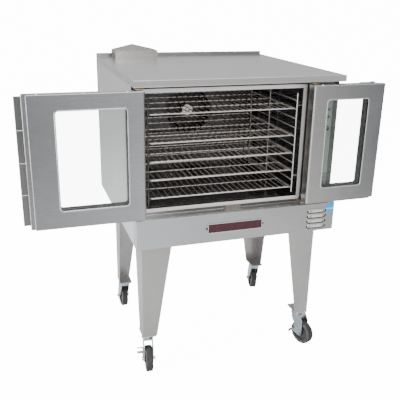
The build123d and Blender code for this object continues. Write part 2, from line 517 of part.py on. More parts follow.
SPLIT = 20.0              # depth where the outer and inner pans meet
PIVOT_BLOCK = 22.0
LEAVES = {
    "left": dict(pivot=LEFT_PIVOT, hinge=SIDE_GAP, free=MEETING, way=1, step=STEP_W,
                 window=SIDE_GAP + LEFT_WINDOW_SIDE + LEFT_WINDOW_W / 2, width=LEFT_WINDOW_W),
    "right": dict(pivot=RIGHT_PIVOT, hinge=RIGHT_EDGE, free=MEETING + MEETING_GAP, way=-1,
                  step=RIGHT_STEP_W,
                  window=RIGHT_EDGE - RIGHT_WINDOW_SIDE - RIGHT_WINDOW_W / 2, width=RIGHT_WINDOW_W),
}
for side, leaf in LEAVES.items():
    pivot, hinge, free, way, step = (leaf[k] for k in ("pivot", "hinge", "free", "way", "step"))
    z = (DOOR_BOTTOM, DOOR_TOP)
    inside = (DOOR_BOTTOM + SHEET, DOOR_TOP - SHEET)
    # the right leaf's outer pan stops short, so that the left leaf's cover strip can close over it
    skin_free = free if side == "left" else free + ASTRAGAL_W
    with BuildPart() as skin:
        leaf_slab(pivot, (hinge, skin_free), (DOOR_OUT, SPLIT), z)
        fillet(upright(skin.edges()).sort_by(Axis.Y)[-2:], 2.4)
        leaf_slab(pivot, (hinge + way * SHEET, skin_free - way * SHEET), (DOOR_OUT + SHEET, SPLIT + 1),
                  inside, Mode.SUBTRACT)
        leaf_window(pivot, leaf["window"], leaf["width"], (DOOR_OUT - 1, DOOR_OUT + 4))
        if side == "right":
            leaf_slab(pivot, (free, skin_free + 1), (SPLIT - 6, SPLIT), z)
            leaf_slab(pivot, (free + SHEET, skin_free - SHEET), (SPLIT - 6 + SHEET, SPLIT + 1), inside,
                      Mode.SUBTRACT)
        for end, bush_z in ((1, DOOR_TOP), (-1, DOOR_BOTTOM)):
            leaf_slab(pivot, (pivot - 9, pivot + 9), (PIVOT_Y - 7, PIVOT_Y + 9),
                      (bush_z - end * PIVOT_BLOCK, bush_z))
            rod((pivot, PIVOT_Y, bush_z - end * (PIVOT_BLOCK + 1)), (0, 0, end), PIVOT_BLOCK + 2,
                PIN_R + RUNNING, Mode.SUBTRACT)
    save(skin, f"{side}_door_skin")

    with BuildPart() as liner:
        leaf_slab(pivot, (hinge, free - way * step), (SPLIT + PANEL_GAP, DOOR_IN), z)
        inner_edges = upright(liner.edges()).sort_by(Axis.Y)[:2]
        chamfer(inner_edges.sort_by(Axis.X)[-1 if side == "left" else 0], HINGE_CHAMFER)
        leaf_slab(pivot, (free - way * (step + 1), free), (SPLIT + PANEL_GAP, DOOR_IN - STEP_DEPTH), z)
        leaf_slab(pivot, (hinge + way * SHEET, free - way * (step + SHEET)),
                  (SPLIT, DOOR_IN - SHEET - HINGE_CHAMFER),
                  inside, Mode.SUBTRACT)
        leaf_slab(pivot, (hinge + way * (SHEET + HINGE_CHAMFER), free - way * (step + SHEET)),
                  (SPLIT, DOOR_IN - SHEET),
                  inside, Mode.SUBTRACT)
        leaf_slab(pivot, (hinge + way * 20, free - way * SHEET), (SPLIT, DOOR_IN - STEP_DEPTH - SHEET),
                  inside, Mode.SUBTRACT)
        leaf_window(pivot, leaf["window"], leaf["width"], (DOOR_IN - 8, DOOR_IN + 1))
    save(liner, f"{side}_door_liner")

    with BuildPart() as glass:
        pane = (leaf["window"] - leaf["width"] / 2 - GLASS_LAP,
                leaf["window"] + leaf["width"] / 2 + GLASS_LAP)
        pane_z = (DOOR_TOP - WINDOW_DROP - WINDOW_H - GLASS_LAP, DOOR_TOP - WINDOW_DROP + GLASS_LAP)
        leaf_slab(pivot, pane, (DOOR_IN - SHEET - 3 - GLASS_T, DOOR_IN - SHEET - 3), pane_z)
        leaf_slab(pivot, pane, (DOOR_OUT + SHEET + 3, DOOR_OUT + SHEET + 3 + GLASS_T), pane_z)
    save(glass, f"{side}_door_glass")

RIBS = 3
RIB_W = 7.0
RIB_OUT = 2.5
with BuildPart() as left_door_astragal:
    strip_z = (DOOR_BOTTOM + 5, DOOR_TOP - 9)
    leaf_slab(LEFT_PIVOT, (MEETING + 0.1, MEETING + ASTRAGAL_W), (DOOR_OUT, DOOR_OUT + SHEET), strip_z)
    leaf_slab(LEFT_PIVOT, (MEETING + 0.1, MEETING + 0.1 + SHEET), (DOOR_OUT, DOOR_OUT + 12), strip_z)
    for rib in range(1, RIBS + 1):
        middle = strip_z[0] + rib * (strip_z[1] - strip_z[0]) / (RIBS + 1)
        leaf_slab(LEFT_PIVOT, (MEETING + 0.1, MEETING + ASTRAGAL_W), (DOOR_OUT, DOOR_OUT + RIB_OUT),
                  (middle - RIB_W / 2, middle + RIB_W / 2))
save(left_door_astragal, "left_door_astragal")

HANDLE_X = MEETING - 42.0
HANDLE_OUT = 40.0
HANDLE_L = 300.0
HANDLE_R = 11.0
HANDLE_MID = (DOOR_TOP + DOOR_BOTTOM) / 2
with BuildPart() as door_handle:
    bar = (2 * LEFT_PIVOT - HANDLE_X, 2 * PIVOT_Y - DOOR_OUT + HANDLE_OUT, HANDLE_MID - HANDLE_L / 2)
    rod(bar, (0, 0, 1), HANDLE_L, HANDLE_R)
    fillet(door_handle.edges().filter_by(GeomType.CIRCLE), 4)
    for dz in (28, HANDLE_L - 28):
        rod((bar[0], 2 * PIVOT_Y - DOOR_OUT + 0.1, bar[2] + dz), (0, 1, 0), HANDLE_OUT - 0.1, 7)
        rod((bar[0], 2 * PIVOT_Y - DOOR_OUT + 0.1, bar[2] + dz), (0, 1, 0), 5, 13)
save(door_handle, "door_handle")

with BuildPart() as right_door_catch:
    leaf_slab(RIGHT_PIVOT, (RIGHT_PIVOT - 302, RIGHT_PIVOT - 228), (-10, 14),
              (DOOR_TOP + 0.1, DOOR_TOP + 2.1))
    leaf_slab(RIGHT_PIVOT, (RIGHT_PIVOT - 298, RIGHT_PIVOT - 284), (-6, 6), (DOOR_TOP + 2, DOOR_TOP + 5.5))
save(right_door_catch, "right_door_catch")

HINGE_PLATE = 4.0
HINGE_LIFT = 2.5
with BuildPart() as door_hardware:
    for pivot, left, right in ((LEFT_PIVOT, -13, 22), (RIGHT_PIVOT, -20, 16)):
        top_z = DOOR_TOP + HINGE_LIFT
        slab((pivot + left, pivot + right), (PIVOT_Y - 8, FRAME_SETBACK - 0.1),
             (top_z, top_z + HINGE_PLATE))
        rod((pivot, PIVOT_Y, top_z + 1), (0, 0, -1), HINGE_LIFT + PIVOT_BLOCK - 3, PIN_R)
        low_z = DOOR_BOTTOM - HINGE_LIFT
        slab((pivot + left, pivot + right), (PIVOT_Y - 8, FRAME_SETBACK - BEAD_PROUD - PANEL_GAP),
             (low_z - HINGE_PLATE, low_z))
        slab((pivot + left, pivot + right), (16, FRAME_SETBACK - 0.1),
             (LEDGE + 0.1, low_z - HINGE_PLATE + 0.1))
        rod((pivot, PIVOT_Y, low_z - 1), (0, 0, 1), HINGE_LIFT + PIVOT_BLOCK - 3, PIN_R)
    slab((MEETING - 48, MEETING + 34), (20, FRAME_SETBACK - 0.1), (LEDGE + 0.1, LEDGE + 3))
    slab((MEETING - 44, MEETING + 30), (FRAME_SETBACK - 6, FRAME_SETBACK - 0.1),
         (LEDGE + 0.1, CAVITY_BOTTOM - BEAD_W - 1))
save(door_hardware, "door_hardware")

# ------------------------------------------------------------------ legs and casters
CORNERS = {
    "front_left": (LEG_INSET, LEG_FRONT, 1, 1),
    "front_right": (BODY_W - LEG_INSET, LEG_FRONT, -1, 1),
    "rear_left": (LEG_INSET, LEG_REAR, 1, -1),
    "rear_right": (BODY_W - LEG_INSET, LEG_REAR, -1, -1),
}
LEG_TOP = BASE_Z - PANEL_GAP
for corner, (cx, cy, sx, sy) in CORNERS.items():
    height = LEG_TOP - LEG_FOOT
    with BuildPart() as leg:
        for width_dir, face_dir in (((sx, 0, 0), (0, sy, 0)), ((0, sy, 0), (sx, 0, 0))):
            web = Plane(origin=at(cx, cy, LEG_FOOT), x_dir=width_dir,
                        z_dir=tuple(Vector(*width_dir).cross(Vector(0, 0, 1))))
            toward = 1 if web.z_dir.dot(Vector(*face_dir)) > 0 else -1
            with BuildSketch(web) as flange:
                Polygon((0, 0), (LEG_FOOT_W, 0), (LEG_TOP_W, height), (0, height), align=None)
            extrude(amount=toward * LEG_T)
        outer = upright(leg.edges()).sort_by(lambda e: (e.center() - Vector(*at(cx, cy,
                                                                                e.center().Z))).length)[0]
        fillet(outer, LEG_BEND * 0.38)
        slab((cx + sx, cx + sx * (LEG_FOOT_W - 3)), (cy + sy, cy + sy * (CASTER_PLATE_L + 2)),
             (LEG_FOOT, LEG_FOOT + 3))
        slab((cx + sx, cx + sx * (LEG_TOP_W - 6)), (cy + sy, cy + sy * (LEG_TOP_W - 6)),
             (LEG_TOP - 3, LEG_TOP))
    save(leg, f"{corner}_leg")

SWIVEL_INSET_X = CASTER_PLATE_W / 2
SWIVEL_INSET_Y = CASTER_PLATE_L / 2
CUP_R = 30.0
CUP_H = 13.0
KINGPIN_R = 7.0
PLATE_T = 5.0
CROWN_TOP = CASTER_H - PLATE_T - CUP_H - PANEL_GAP
CROWN_H = 9.0
with BuildPart() as caster_plates:
    for cx, cy, sx, sy in CORNERS.values():
        px, py = cx + sx * SWIVEL_INSET_X, cy + sy * SWIVEL_INSET_Y
        slab((px - SWIVEL_INSET_X, px + SWIVEL_INSET_X), (py - SWIVEL_INSET_Y, py + SWIVEL_INSET_Y),
             (CASTER_H - PLATE_T - 0.1, CASTER_H - 0.1))
        rod((px, py, CASTER_H - PLATE_T - CUP_H), (0, 0, 1), CUP_H + 1, CUP_R)
        rod((px, py, CROWN_TOP - CROWN_H - 4), (0, 0, 1), CROWN_H + 6, KINGPIN_R)
        rod((px, py, CROWN_TOP - CROWN_H - 9), (0, 0, 1), 5.1, 11)
        bolt_x, bolt_y = SWIVEL_INSET_X - PLATE_BOLT_INSET, SWIVEL_INSET_Y - PLATE_BOLT_INSET
        for dx, dy in ((-bolt_x, -bolt_y), (bolt_x, -bolt_y), (-bolt_x, bolt_y), (bolt_x, bolt_y)):
            rod((px + dx, py + dy, CASTER_H - PLATE_T - 4), (0, 0, 1), 5, 4.6)
save(caster_plates, "caster_plates")

ARM_OUT = WHEEL_W / 2 + 4.2 + FORK_T
BRAKE_T = 3.0
BRAKE_IN = ARM_OUT + 0.4
BRAKE_TAB = 26.0
AXLE_END = BRAKE_IN + BRAKE_T + 0.4
NUT_H = 6.0
for corner, (cx, cy, sx, sy) in CORNERS.items():
    px, py = cx + sx * SWIVEL_INSET_X, cy + sy * SWIVEL_INSET_Y
    turn = math.radians(CASTER_ANGLES[corner])
    along = (math.cos(turn), math.sin(turn), 0)
    across = (-math.sin(turn), math.cos(turn), 0)
    swivel = Plane(origin=at(px, py, 0), x_dir=along, z_dir=(0, 0, 1))
    side = Plane(origin=at(px, py, 0), x_dir=along, z_dir=tuple(-v for v in across))
    braked = corner.startswith("front")

    def lateral(offset):
        """The caster's side plane, moved across the wheel."""
        return side.offset(offset)

    with BuildPart() as fork:
        with BuildSketch(swivel.offset(CROWN_TOP - CROWN_H)) as crown:
            Circle(CUP_R)
            with Locations((TRAIL * 0.45, 0)):
                Rectangle(TRAIL * 0.9, 2 * ARM_OUT)
        extrude(amount=CROWN_H)
        for offset in (-ARM_OUT, ARM_OUT - FORK_T):
            with BuildSketch(lateral(offset)) as arm:
                with BuildLine() as arm_outline:
                    Polyline((-14, CROWN_TOP), (TRAIL * 0.9, CROWN_TOP), (TRAIL + 14, CROWN_TOP - 36),
                             (TRAIL + 14, WHEEL_R - 3), (TRAIL + 7, WHEEL_R - 14), (TRAIL - 7,
                                                                                    WHEEL_R - 14),
                             (TRAIL - 14, WHEEL_R - 3), (-14, CROWN_TOP - 30), (-14, CROWN_TOP))
                make_face()
            extrude(amount=FORK_T)
        with BuildSketch(swivel.offset(CROWN_TOP - CROWN_H - 12)) as well:
            Circle(12)
        extrude(amount=12, mode=Mode.SUBTRACT)
        with BuildSketch(swivel.offset(CROWN_TOP - CROWN_H - 1)) as kingpin_hole:
            Circle(KINGPIN_R + RUNNING)
        extrude(amount=CROWN_H + 2, mode=Mode.SUBTRACT)
        with BuildSketch(lateral(-AXLE_END)) as axle:
            with Locations((TRAIL, WHEEL_R)):
                Circle(AXLE_R)
        extrude(amount=2 * AXLE_END)
        for offset in (-AXLE_END - NUT_H, AXLE_END):
            with BuildSketch(lateral(offset)) as nut:
                with Locations((TRAIL, WHEEL_R)):
                    RegularPolygon(10, 6)
            extrude(amount=NUT_H)
    save(fork, f"{corner}_fork")

    hub_half = ARM_OUT - FORK_T - 0.6
    with BuildPart() as hub:
        with BuildSketch(lateral(-hub_half)) as core:
            with Locations((TRAIL, WHEEL_R)):
                Circle(13)
        extrude(amount=2 * hub_half)
        with BuildSketch(lateral(-WHEEL_W / 2 + 8)) as web_disc:
            with Locations((TRAIL, WHEEL_R)):
                Circle(RIM_R - 3)
        extrude(amount=WHEEL_W - 16)
        with BuildSketch(lateral(-WHEEL_W / 2 + 2)) as rim:
            with Locations((TRAIL, WHEEL_R)):
                Circle(RIM_R)
                Circle(RIM_R - 6, mode=Mode.SUBTRACT)
        extrude(amount=WHEEL_W - 4)
        with BuildSketch(lateral(-hub_half - 1)) as axle_hole:
            with Locations((TRAIL, WHEEL_R)):
                Circle(AXLE_R + RUNNING)
        extrude(amount=2 * hub_half + 2, mode=Mode.SUBTRACT)
    save(hub, f"{corner}_hub")

    with BuildPart() as tyre:
        with BuildSketch(lateral(-WHEEL_W / 2)) as tread:
            with Locations((TRAIL, WHEEL_R)):
                Circle(WHEEL_R)
                Circle(RIM_R + 0.05, mode=Mode.SUBTRACT)
        extrude(amount=WHEEL_W)
        fillet(tyre.edges().filter_by(lambda e: e.geom_type == GeomType.CIRCLE and e.radius > RIM_R + 1), 5)
    save(tyre, f"{corner}_tyre")

    if braked:
        with BuildPart() as lever:
            with BuildSketch(lateral(BRAKE_IN)) as lever_plate:
                with Locations((TRAIL, WHEEL_R)):
                    Circle(14)
                with BuildLine() as lever_outline:
                    Polyline((TRAIL + 8, WHEEL_R + 11), (TRAIL - 30, WHEEL_R + 44),
                             (TRAIL - 42, WHEEL_R + 34),
                             (TRAIL - 30, WHEEL_R + 15), (TRAIL - 50, WHEEL_R + 12), (TRAIL - 50,
                                                                                      WHEEL_R - 2),
                             (TRAIL - 4, WHEEL_R - 13), (TRAIL + 8, WHEEL_R + 11))
                make_face()
            extrude(amount=BRAKE_T)
            for tab, tilt in (((TRAIL - 36, WHEEL_R + 39), 50), ((TRAIL - 50 + 1.5, WHEEL_R + 5), 90)):
                with BuildSketch(lateral(BRAKE_IN)) as pedal:
                    with Locations(Location((tab[0], tab[1], 0), (0, 0, tilt - 90))):
                        Rectangle(3, 14)
                extrude(amount=BRAKE_T + BRAKE_TAB)
            with BuildSketch(lateral(BRAKE_IN - 1)) as lever_bore:
                with Locations((TRAIL, WHEEL_R)):
                    Circle(AXLE_R + RUNNING)
            extrude(amount=BRAKE_T + 2, mode=Mode.SUBTRACT)
        save(lever, f"{corner}_brake")

# ------------------------------------------------------------------ fasteners that show
with BuildPart() as screws:
    for x in (167, 300, 590, 676):
        rod((x, 19, LEDGE + 0.05), (0, 0, 1), 2.2, 4.2)
    for x in (64, BODY_W / 2, BODY_W - 64):
        rod((x, -0.05, BODY_TOP - 10), (0, -1, 0), 1.8, 3.6)
    for z in (LEDGE + 20, PANEL_TOP - 30):
        rod((PANEL_LEFT + 9, PANEL_Y - 0.05, z), (0, -1, 0), 2, 3.6)
    for y in (180, 480, 780):
        for x, way in ((-0.05, -1), (BODY_W + 0.05, 1)):
            rod((x, y, LIP_BOTTOM + 12), (way, 0, 0), 1.6, 3.4)
    for x in (40, BODY_W / 2 - 40, BODY_W - 40):
        for z in (BODY_BOTTOM + 30, BODY_TOP - 40):
            rod((x, BODY_D + 0.05, z), (0, 1, 0), 2, 4)
save(screws, "screws")
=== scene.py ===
# %% [markdown]
# # A full-size convection oven, dressed around its CAD frame
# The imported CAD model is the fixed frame: sheet metal, doors, racks, legs and casters are already where they
# belong.  This lesson gives every CAD node a finish, then adds the thin things that sheet-metal drawings leave
# out: window channels and rims, plain labels, louvre hoods, bright folds, a fan nut, screws and wheel ridges.

# %% load the frame
import json
import math

import bmesh
import bpy
import numpy as np
from mathutils import Matrix, Vector


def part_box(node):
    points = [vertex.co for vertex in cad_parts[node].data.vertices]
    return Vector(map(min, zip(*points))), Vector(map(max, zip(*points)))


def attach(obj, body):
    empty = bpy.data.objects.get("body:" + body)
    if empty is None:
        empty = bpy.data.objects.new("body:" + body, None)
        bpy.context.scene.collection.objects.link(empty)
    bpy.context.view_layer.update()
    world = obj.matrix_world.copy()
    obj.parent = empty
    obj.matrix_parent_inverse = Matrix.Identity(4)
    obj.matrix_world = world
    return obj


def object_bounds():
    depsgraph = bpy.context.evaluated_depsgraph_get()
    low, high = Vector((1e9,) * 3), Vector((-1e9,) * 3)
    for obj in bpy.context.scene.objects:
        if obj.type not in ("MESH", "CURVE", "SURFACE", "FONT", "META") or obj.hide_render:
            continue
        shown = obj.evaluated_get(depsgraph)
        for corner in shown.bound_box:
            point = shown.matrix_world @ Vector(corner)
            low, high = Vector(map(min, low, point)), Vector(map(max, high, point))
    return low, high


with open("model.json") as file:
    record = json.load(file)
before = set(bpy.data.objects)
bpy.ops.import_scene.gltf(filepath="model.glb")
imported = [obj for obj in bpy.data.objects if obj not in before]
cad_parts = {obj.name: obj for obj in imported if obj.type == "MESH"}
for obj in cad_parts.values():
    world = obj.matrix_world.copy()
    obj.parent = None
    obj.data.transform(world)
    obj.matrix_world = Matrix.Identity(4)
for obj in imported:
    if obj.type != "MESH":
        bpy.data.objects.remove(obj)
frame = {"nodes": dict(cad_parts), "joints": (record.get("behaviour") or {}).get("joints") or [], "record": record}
nodes = frame["nodes"]
cad_low, cad_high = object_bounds()
print("CAD box", tuple(cad_low), tuple(cad_high))


# %% places taken from the frame
def low_high(node):
    """Lowest and highest corner of a CAD node, as numpy arrays in metres."""
    low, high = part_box(node)
    return np.array(low), np.array(high)


body_low, body_high = low_high("top_panel")
floor_z = cad_low.z
top_z = float(body_high[2])
lip_z = float(body_low[2])
front_y = float(body_low[1])
left_x = float(body_low[0])
right_x = float(body_high[0])
print("body", round(right_x - left_x, 3), "wide, top at", round(top_z, 3))

# %% [markdown]
# ## Camera
# The oven is seen from the left of its front corner, a little above its top.  The camera is written as a place,
# a heading, a tilt down and a small roll, which is how a tripod is set, instead of a look-at constraint.

# %% camera
CAMERA_FROM_CORNER = Vector((-0.47934, -2.30047, 0.33151))
YAW = math.radians(18.42)
PITCH = math.radians(19.45)
ROLL = math.radians(1.04)
LENS = 52.72
SENSOR = 36.0

forward = Vector((math.sin(YAW) * math.cos(PITCH), math.cos(YAW) * math.cos(PITCH), -math.sin(PITCH)))
level = Vector((math.cos(YAW), -math.sin(YAW), 0.0))
above = level.cross(forward)
across = math.cos(ROLL) * level + math.sin(ROLL) * above
upwards = math.cos(ROLL) * above - math.sin(ROLL) * level

camera = bpy.data.objects.new("camera", bpy.data.cameras.new("camera"))
camera.data.lens = LENS
camera.data.sensor_width = SENSOR
turn = Matrix((across, upwards, -forward)).transposed().to_4x4()
camera.matrix_world = Matrix.Translation(Vector((left_x, front_y, top_z)) + CAMERA_FROM_CORNER) @ turn
bpy.context.scene.collection.objects.link(camera)
bpy.context.scene.camera = camera
print("camera at", tuple(round(v, 3) for v in camera.location))

# %% [markdown]
# ## Mesh helpers
# Every new piece is a surface worked out with numpy: a grid of points whose rows and columns are two
# parameters.  One function turns such a grid into a mesh; the others only make grids.  The pieces could be
# primitives bent by modifiers, but a grid puts each edge exactly where the frame's own numbers say.


# %% grids into meshes
def surface(name, grids, body, material):
    """One object from grids of points, each (rows, columns, 3, closed_rows, closed_columns, capped).

    Rows and columns are neighbours in the grid.  A closed direction joins its last line to its first, and a cap
    fills the first and last row with one polygon each.
    """
    verts, faces = [], []
    for points, close_rows, close_columns, capped in grids:
        start = sum(len(v) for v in verts)
        rows, columns = points.shape[:2]
        index = np.arange(rows * columns).reshape(rows, columns) + start
        if close_rows:
            index = np.vstack([index, index[:1]])
        if close_columns:
            index = np.hstack([index, index[:, :1]])
        quads = np.stack([index[:-1, :-1], index[:-1, 1:], index[1:, 1:], index[1:, :-1]], axis=-1)
        faces += quads.reshape(-1, 4).tolist()
        if capped:
            ring = np.arange(columns)
            faces.append((start + ring[::-1]).tolist())
            faces.append((start + (rows - 1) * columns + ring).tolist())
        verts.append(points.reshape(-1, 3))
    mesh = bpy.data.meshes.new(name)
    mesh.from_pydata(np.vstack(verts).tolist(), [], faces)
    mesh.validate()
    face_outwards(mesh)
    mesh.materials.append(material)
    piece = bpy.data.objects.new(name, mesh)
    bpy.context.scene.collection.objects.link(piece)
    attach(piece, body)
    return piece


def face_outwards(mesh):
    """Turns faces so that neighbours agree and each closed shell's faces point away from its inside."""
    work = bmesh.new()
    work.from_mesh(mesh)
    bmesh.ops.recalc_face_normals(work, faces=work.faces)
    work.to_mesh(mesh)
    work.free()


def shade_smooth(piece, angle=0.6):
    """Smooth shading, kept sharp where two faces meet at more than the angle."""
    piece.data.polygons.foreach_set("use_smooth", np.ones(len(piece.data.polygons), bool))
    piece.data.set_sharp_from_angle(angle=angle)
    return piece


print("surfaces are grids of rows and columns")


# %% rods and turned parts
UPRIGHT = 0.9              # past this much Z, a direction needs another helper to cross with


def across_pair(along):
    """Two unit directions across each given one: its cross product with Z, or with X if upright, and theirs."""
    helper = np.where(np.abs(along[..., 2:3]) < UPRIGHT, [0, 0, 1.0], [1.0, 0, 0])
    side = np.cross(helper, along)
    side /= np.linalg.norm(side, axis=-1, keepdims=True)
    return side, np.cross(along, side)


def tube(points, radius, sides=10, closed=False):
    """Grid of a round rod: at each point of a path, a circle radius*(cos a, sin a) across its direction."""
    points = np.asarray(points, float)
    ahead = np.roll(points, -1, 0) if closed else np.vstack([points[1:], 2 * points[-1:] - points[-2:-1]])
    behind = np.roll(points, 1, 0) if closed else np.vstack([2 * points[:1] - points[1:2], points[:-1]])
    along = ahead - behind
    along /= np.linalg.norm(along, axis=1, keepdims=True)
    side, over = across_pair(along)
    angle = np.linspace(0, 2 * np.pi, sides, endpoint=False)
    ring = np.cos(angle)[None, :, None] * side[:, None] + np.sin(angle)[None, :, None] * over[:, None]
    return points[:, None] + radius * ring, closed, True, not closed


def lathe(centre, axis, profile, sides=24):
    """Grid of a turned shape: profile (distance along the axis, radius) carried round the axis."""
    axis = np.array(axis, float) / np.linalg.norm(axis)
    side, over = across_pair(axis)
    angle = np.linspace(0, 2 * np.pi, sides, endpoint=False)
    ring = np.cos(angle)[:, None] * side + np.sin(angle)[:, None] * over
    profile = np.array(profile, float)
    points = np.array(centre) + profile[:, :1, None] * axis + profile[:, 1:2, None] * ring[None]
    return points, False, True, True


print("rods follow a path, turned parts follow a profile")


# %% frames round a rounded rectangle
def rounded_outline(width, height, corner, steps=7):
    """Closed path round a rectangle with quarter-circle corners, as (x, z) pairs about its centre."""
    quarter = np.linspace(0, np.pi / 2, steps)
    corners = [(1, 1, 0.0), (-1, 1, 0.5), (-1, -1, 1.0), (1, -1, 1.5)]
    parts = []
    for sx, sz, half_turns in corners:
        centre = np.array([sx * (width / 2 - corner), sz * (height / 2 - corner)])
        angle = quarter + half_turns * np.pi
        parts.append(centre + corner * np.column_stack([np.cos(angle), np.sin(angle)]))
    return np.vstack(parts)


def ring_along(centre, size, corner, profile):
    """Grid of a frame round a window: profile (outwards, towards +Y) carried round a rounded rectangle."""
    loops = []
    for outwards, depth in profile:
        loop = rounded_outline(size[0] + 2 * outwards, size[1] + 2 * outwards, corner + outwards)
        loops.append(np.column_stack([centre[0] + loop[:, 0], np.full(len(loop), centre[1] + depth),
                                      centre[2] + loop[:, 1]]))
    return np.array(loops), True, True, False


print(len(rounded_outline(1, 1, 0.1)), "points round a window")

# %% [markdown]
# ## Finishes
# Stainless steel is never one grey.  Rolling and brushing leave fine parallel lines, hands and cloths leave
# cloudy patches where the sheen changes, and heat leaves warm tints.  A flat colour with a roughness would be
# quicker, but it looks like plastic.  Each effect is a small node group with named inputs, so that every part
# can have its own amounts.


# %% node helpers
def group(name, inputs, outputs):
    """An empty shader group with named sockets; inputs are (name, type, default)."""
    tree = bpy.data.node_groups.new(name, "ShaderNodeTree")
    for label, kind, default in inputs:
        socket = tree.interface.new_socket(label, in_out="INPUT", socket_type=kind)
        socket.default_value = default
    for label, kind in outputs:
        tree.interface.new_socket(label, in_out="OUTPUT", socket_type=kind)
    return tree, tree.nodes.new("NodeGroupInput"), tree.nodes.new("NodeGroupOutput")


def add(tree, kind, **settings):
    """A node with its properties and input values set; an input is named with spaces as underscores."""
    made = tree.nodes.new(kind)
    for key, value in settings.items():
        if hasattr(made, key) and key not in made.inputs:
            setattr(made, key, value)
        else:
            made.inputs[key.replace("_", " ")].default_value = value
    return made


FLOAT, VECTOR = "NodeSocketFloat", "NodeSocketVector"
print("groups take", FLOAT, "and", VECTOR)

# %% brushed grain
# Noise on stretched coordinates gives streaks; Contrast fades them towards an even middle.
grain_group, g_in, g_out = group(
    "brushed_grain",
    [("Vector", VECTOR, (0, 0, 0)), ("Stretch", VECTOR, (6, 6, 500)), ("Contrast", FLOAT, 0.5)],
    [("Lines", FLOAT)],
)
scaled = add(grain_group, "ShaderNodeVectorMath", operation="MULTIPLY")
noise = add(grain_group, "ShaderNodeTexNoise", Scale=1.0, Detail=3.0, Roughness=0.7)
spread = add(grain_group, "ShaderNodeMapRange", From_Min=0.3, From_Max=0.7)
fade = add(grain_group, "ShaderNodeMix", data_type="FLOAT")
fade.inputs[2].default_value = 0.5
grain_group.links.new(g_in.outputs["Vector"], scaled.inputs[0])
grain_group.links.new(g_in.outputs["Stretch"], scaled.inputs[1])
grain_group.links.new(scaled.outputs[0], noise.inputs["Vector"])
grain_group.links.new(noise.outputs["Fac"], spread.inputs["Value"])
grain_group.links.new(g_in.outputs["Contrast"], fade.inputs[0])
grain_group.links.new(spread.outputs["Result"], fade.inputs[3])
grain_group.links.new(fade.outputs[0], g_out.inputs["Lines"])
print(grain_group.name, "has", len(grain_group.nodes), "nodes")

# %% cloudy handling marks
# Wide, slightly twisted noise, its middle range spread from 0 to 1, times an amount.
cloud_group, c_in, c_out = group(
    "cloudy_marks",
    [("Vector", VECTOR, (0, 0, 0)), ("Size", FLOAT, 4.0), ("Amount", FLOAT, 0.5)],
    [("Mask", FLOAT)],
)
wide = add(cloud_group, "ShaderNodeTexNoise", Detail=4.0, Roughness=0.62, Distortion=0.4)
lift = add(cloud_group, "ShaderNodeMapRange", From_Min=0.35, From_Max=0.68)
amount = add(cloud_group, "ShaderNodeMath", operation="MULTIPLY")
cloud_group.links.new(c_in.outputs["Vector"], wide.inputs["Vector"])
cloud_group.links.new(c_in.outputs["Size"], wide.inputs["Scale"])
cloud_group.links.new(wide.outputs["Fac"], lift.inputs["Value"])
cloud_group.links.new(lift.outputs["Result"], amount.inputs[0])
cloud_group.links.new(c_in.outputs["Amount"], amount.inputs[1])
cloud_group.links.new(amount.outputs[0], c_out.inputs["Mask"])
print(cloud_group.name, "has", len(cloud_group.nodes), "nodes")


# %% the shader every opaque finish shares
def principled(name):
    """A new material with its shader, its output and Object coordinates; returns the tree and those nodes."""
    material = bpy.data.materials.new(name)
    material.use_nodes = True
    tree = material.node_tree
    tree.nodes.clear()
    output = tree.nodes.new("ShaderNodeOutputMaterial")
    shader = tree.nodes.new("ShaderNodeBsdfPrincipled")
    place = tree.nodes.new("ShaderNodeTexCoord")
    tree.links.new(shader.outputs[0], output.inputs["Surface"])
    return material, tree, shader, place.outputs["Object"]


def use(tree, made_group, place, **values):
    """One of the groups above, reading a place, with its own values."""
    used = tree.nodes.new("ShaderNodeGroup")
    used.node_tree = made_group
    tree.links.new(place, used.inputs["Vector"])
    for key, value in values.items():
        used.inputs[key].default_value = value
    return used.outputs[0]


print("each material keeps its own shader")


# %% masks into colours, values and relief
def blend_colours(tree, factor, first, second):
    """A colour between two, by a mask."""
    mix = add(tree, "ShaderNodeMix", data_type="RGBA")
    mix.inputs[6].default_value = (*first, 1)
    mix.inputs[7].default_value = (*second, 1)
    tree.links.new(factor, mix.inputs[0])
    return mix.outputs[2]


def blend_values(tree, factor, first, second):
    """A number between two, by a mask."""
    span = add(tree, "ShaderNodeMapRange", To_Min=first, To_Max=second)
    tree.links.new(factor, span.inputs["Value"])
    return span.outputs["Result"]


def relief(tree, shader, height, distance):
    """Height into the shader's normal through a Bump node."""
    bump = add(tree, "ShaderNodeBump", Distance=distance)
    tree.links.new(height, bump.inputs["Height"])
    tree.links.new(bump.outputs[0], shader.inputs["Normal"])


def zone_mask(tree, place, axis, start, end):
    """0 before start and 1 past end along one Object axis, for painted shade and highlights that change across a
    part.
    """
    parts = add(tree, "ShaderNodeSeparateXYZ")
    span = add(tree, "ShaderNodeMapRange", From_Min=start, From_Max=end)
    tree.links.new(place, parts.inputs[0])
    tree.links.new(parts.outputs["XYZ".index(axis)], span.inputs["Value"])
    return span.outputs["Result"]


print("a zone starts and ends at a place on the oven")


# %% brushed steel
CLOUD_SHARE = 0.55         # how much the cloudy marks decide the tone
LINE_SHARE = 0.45          # and the grain lines


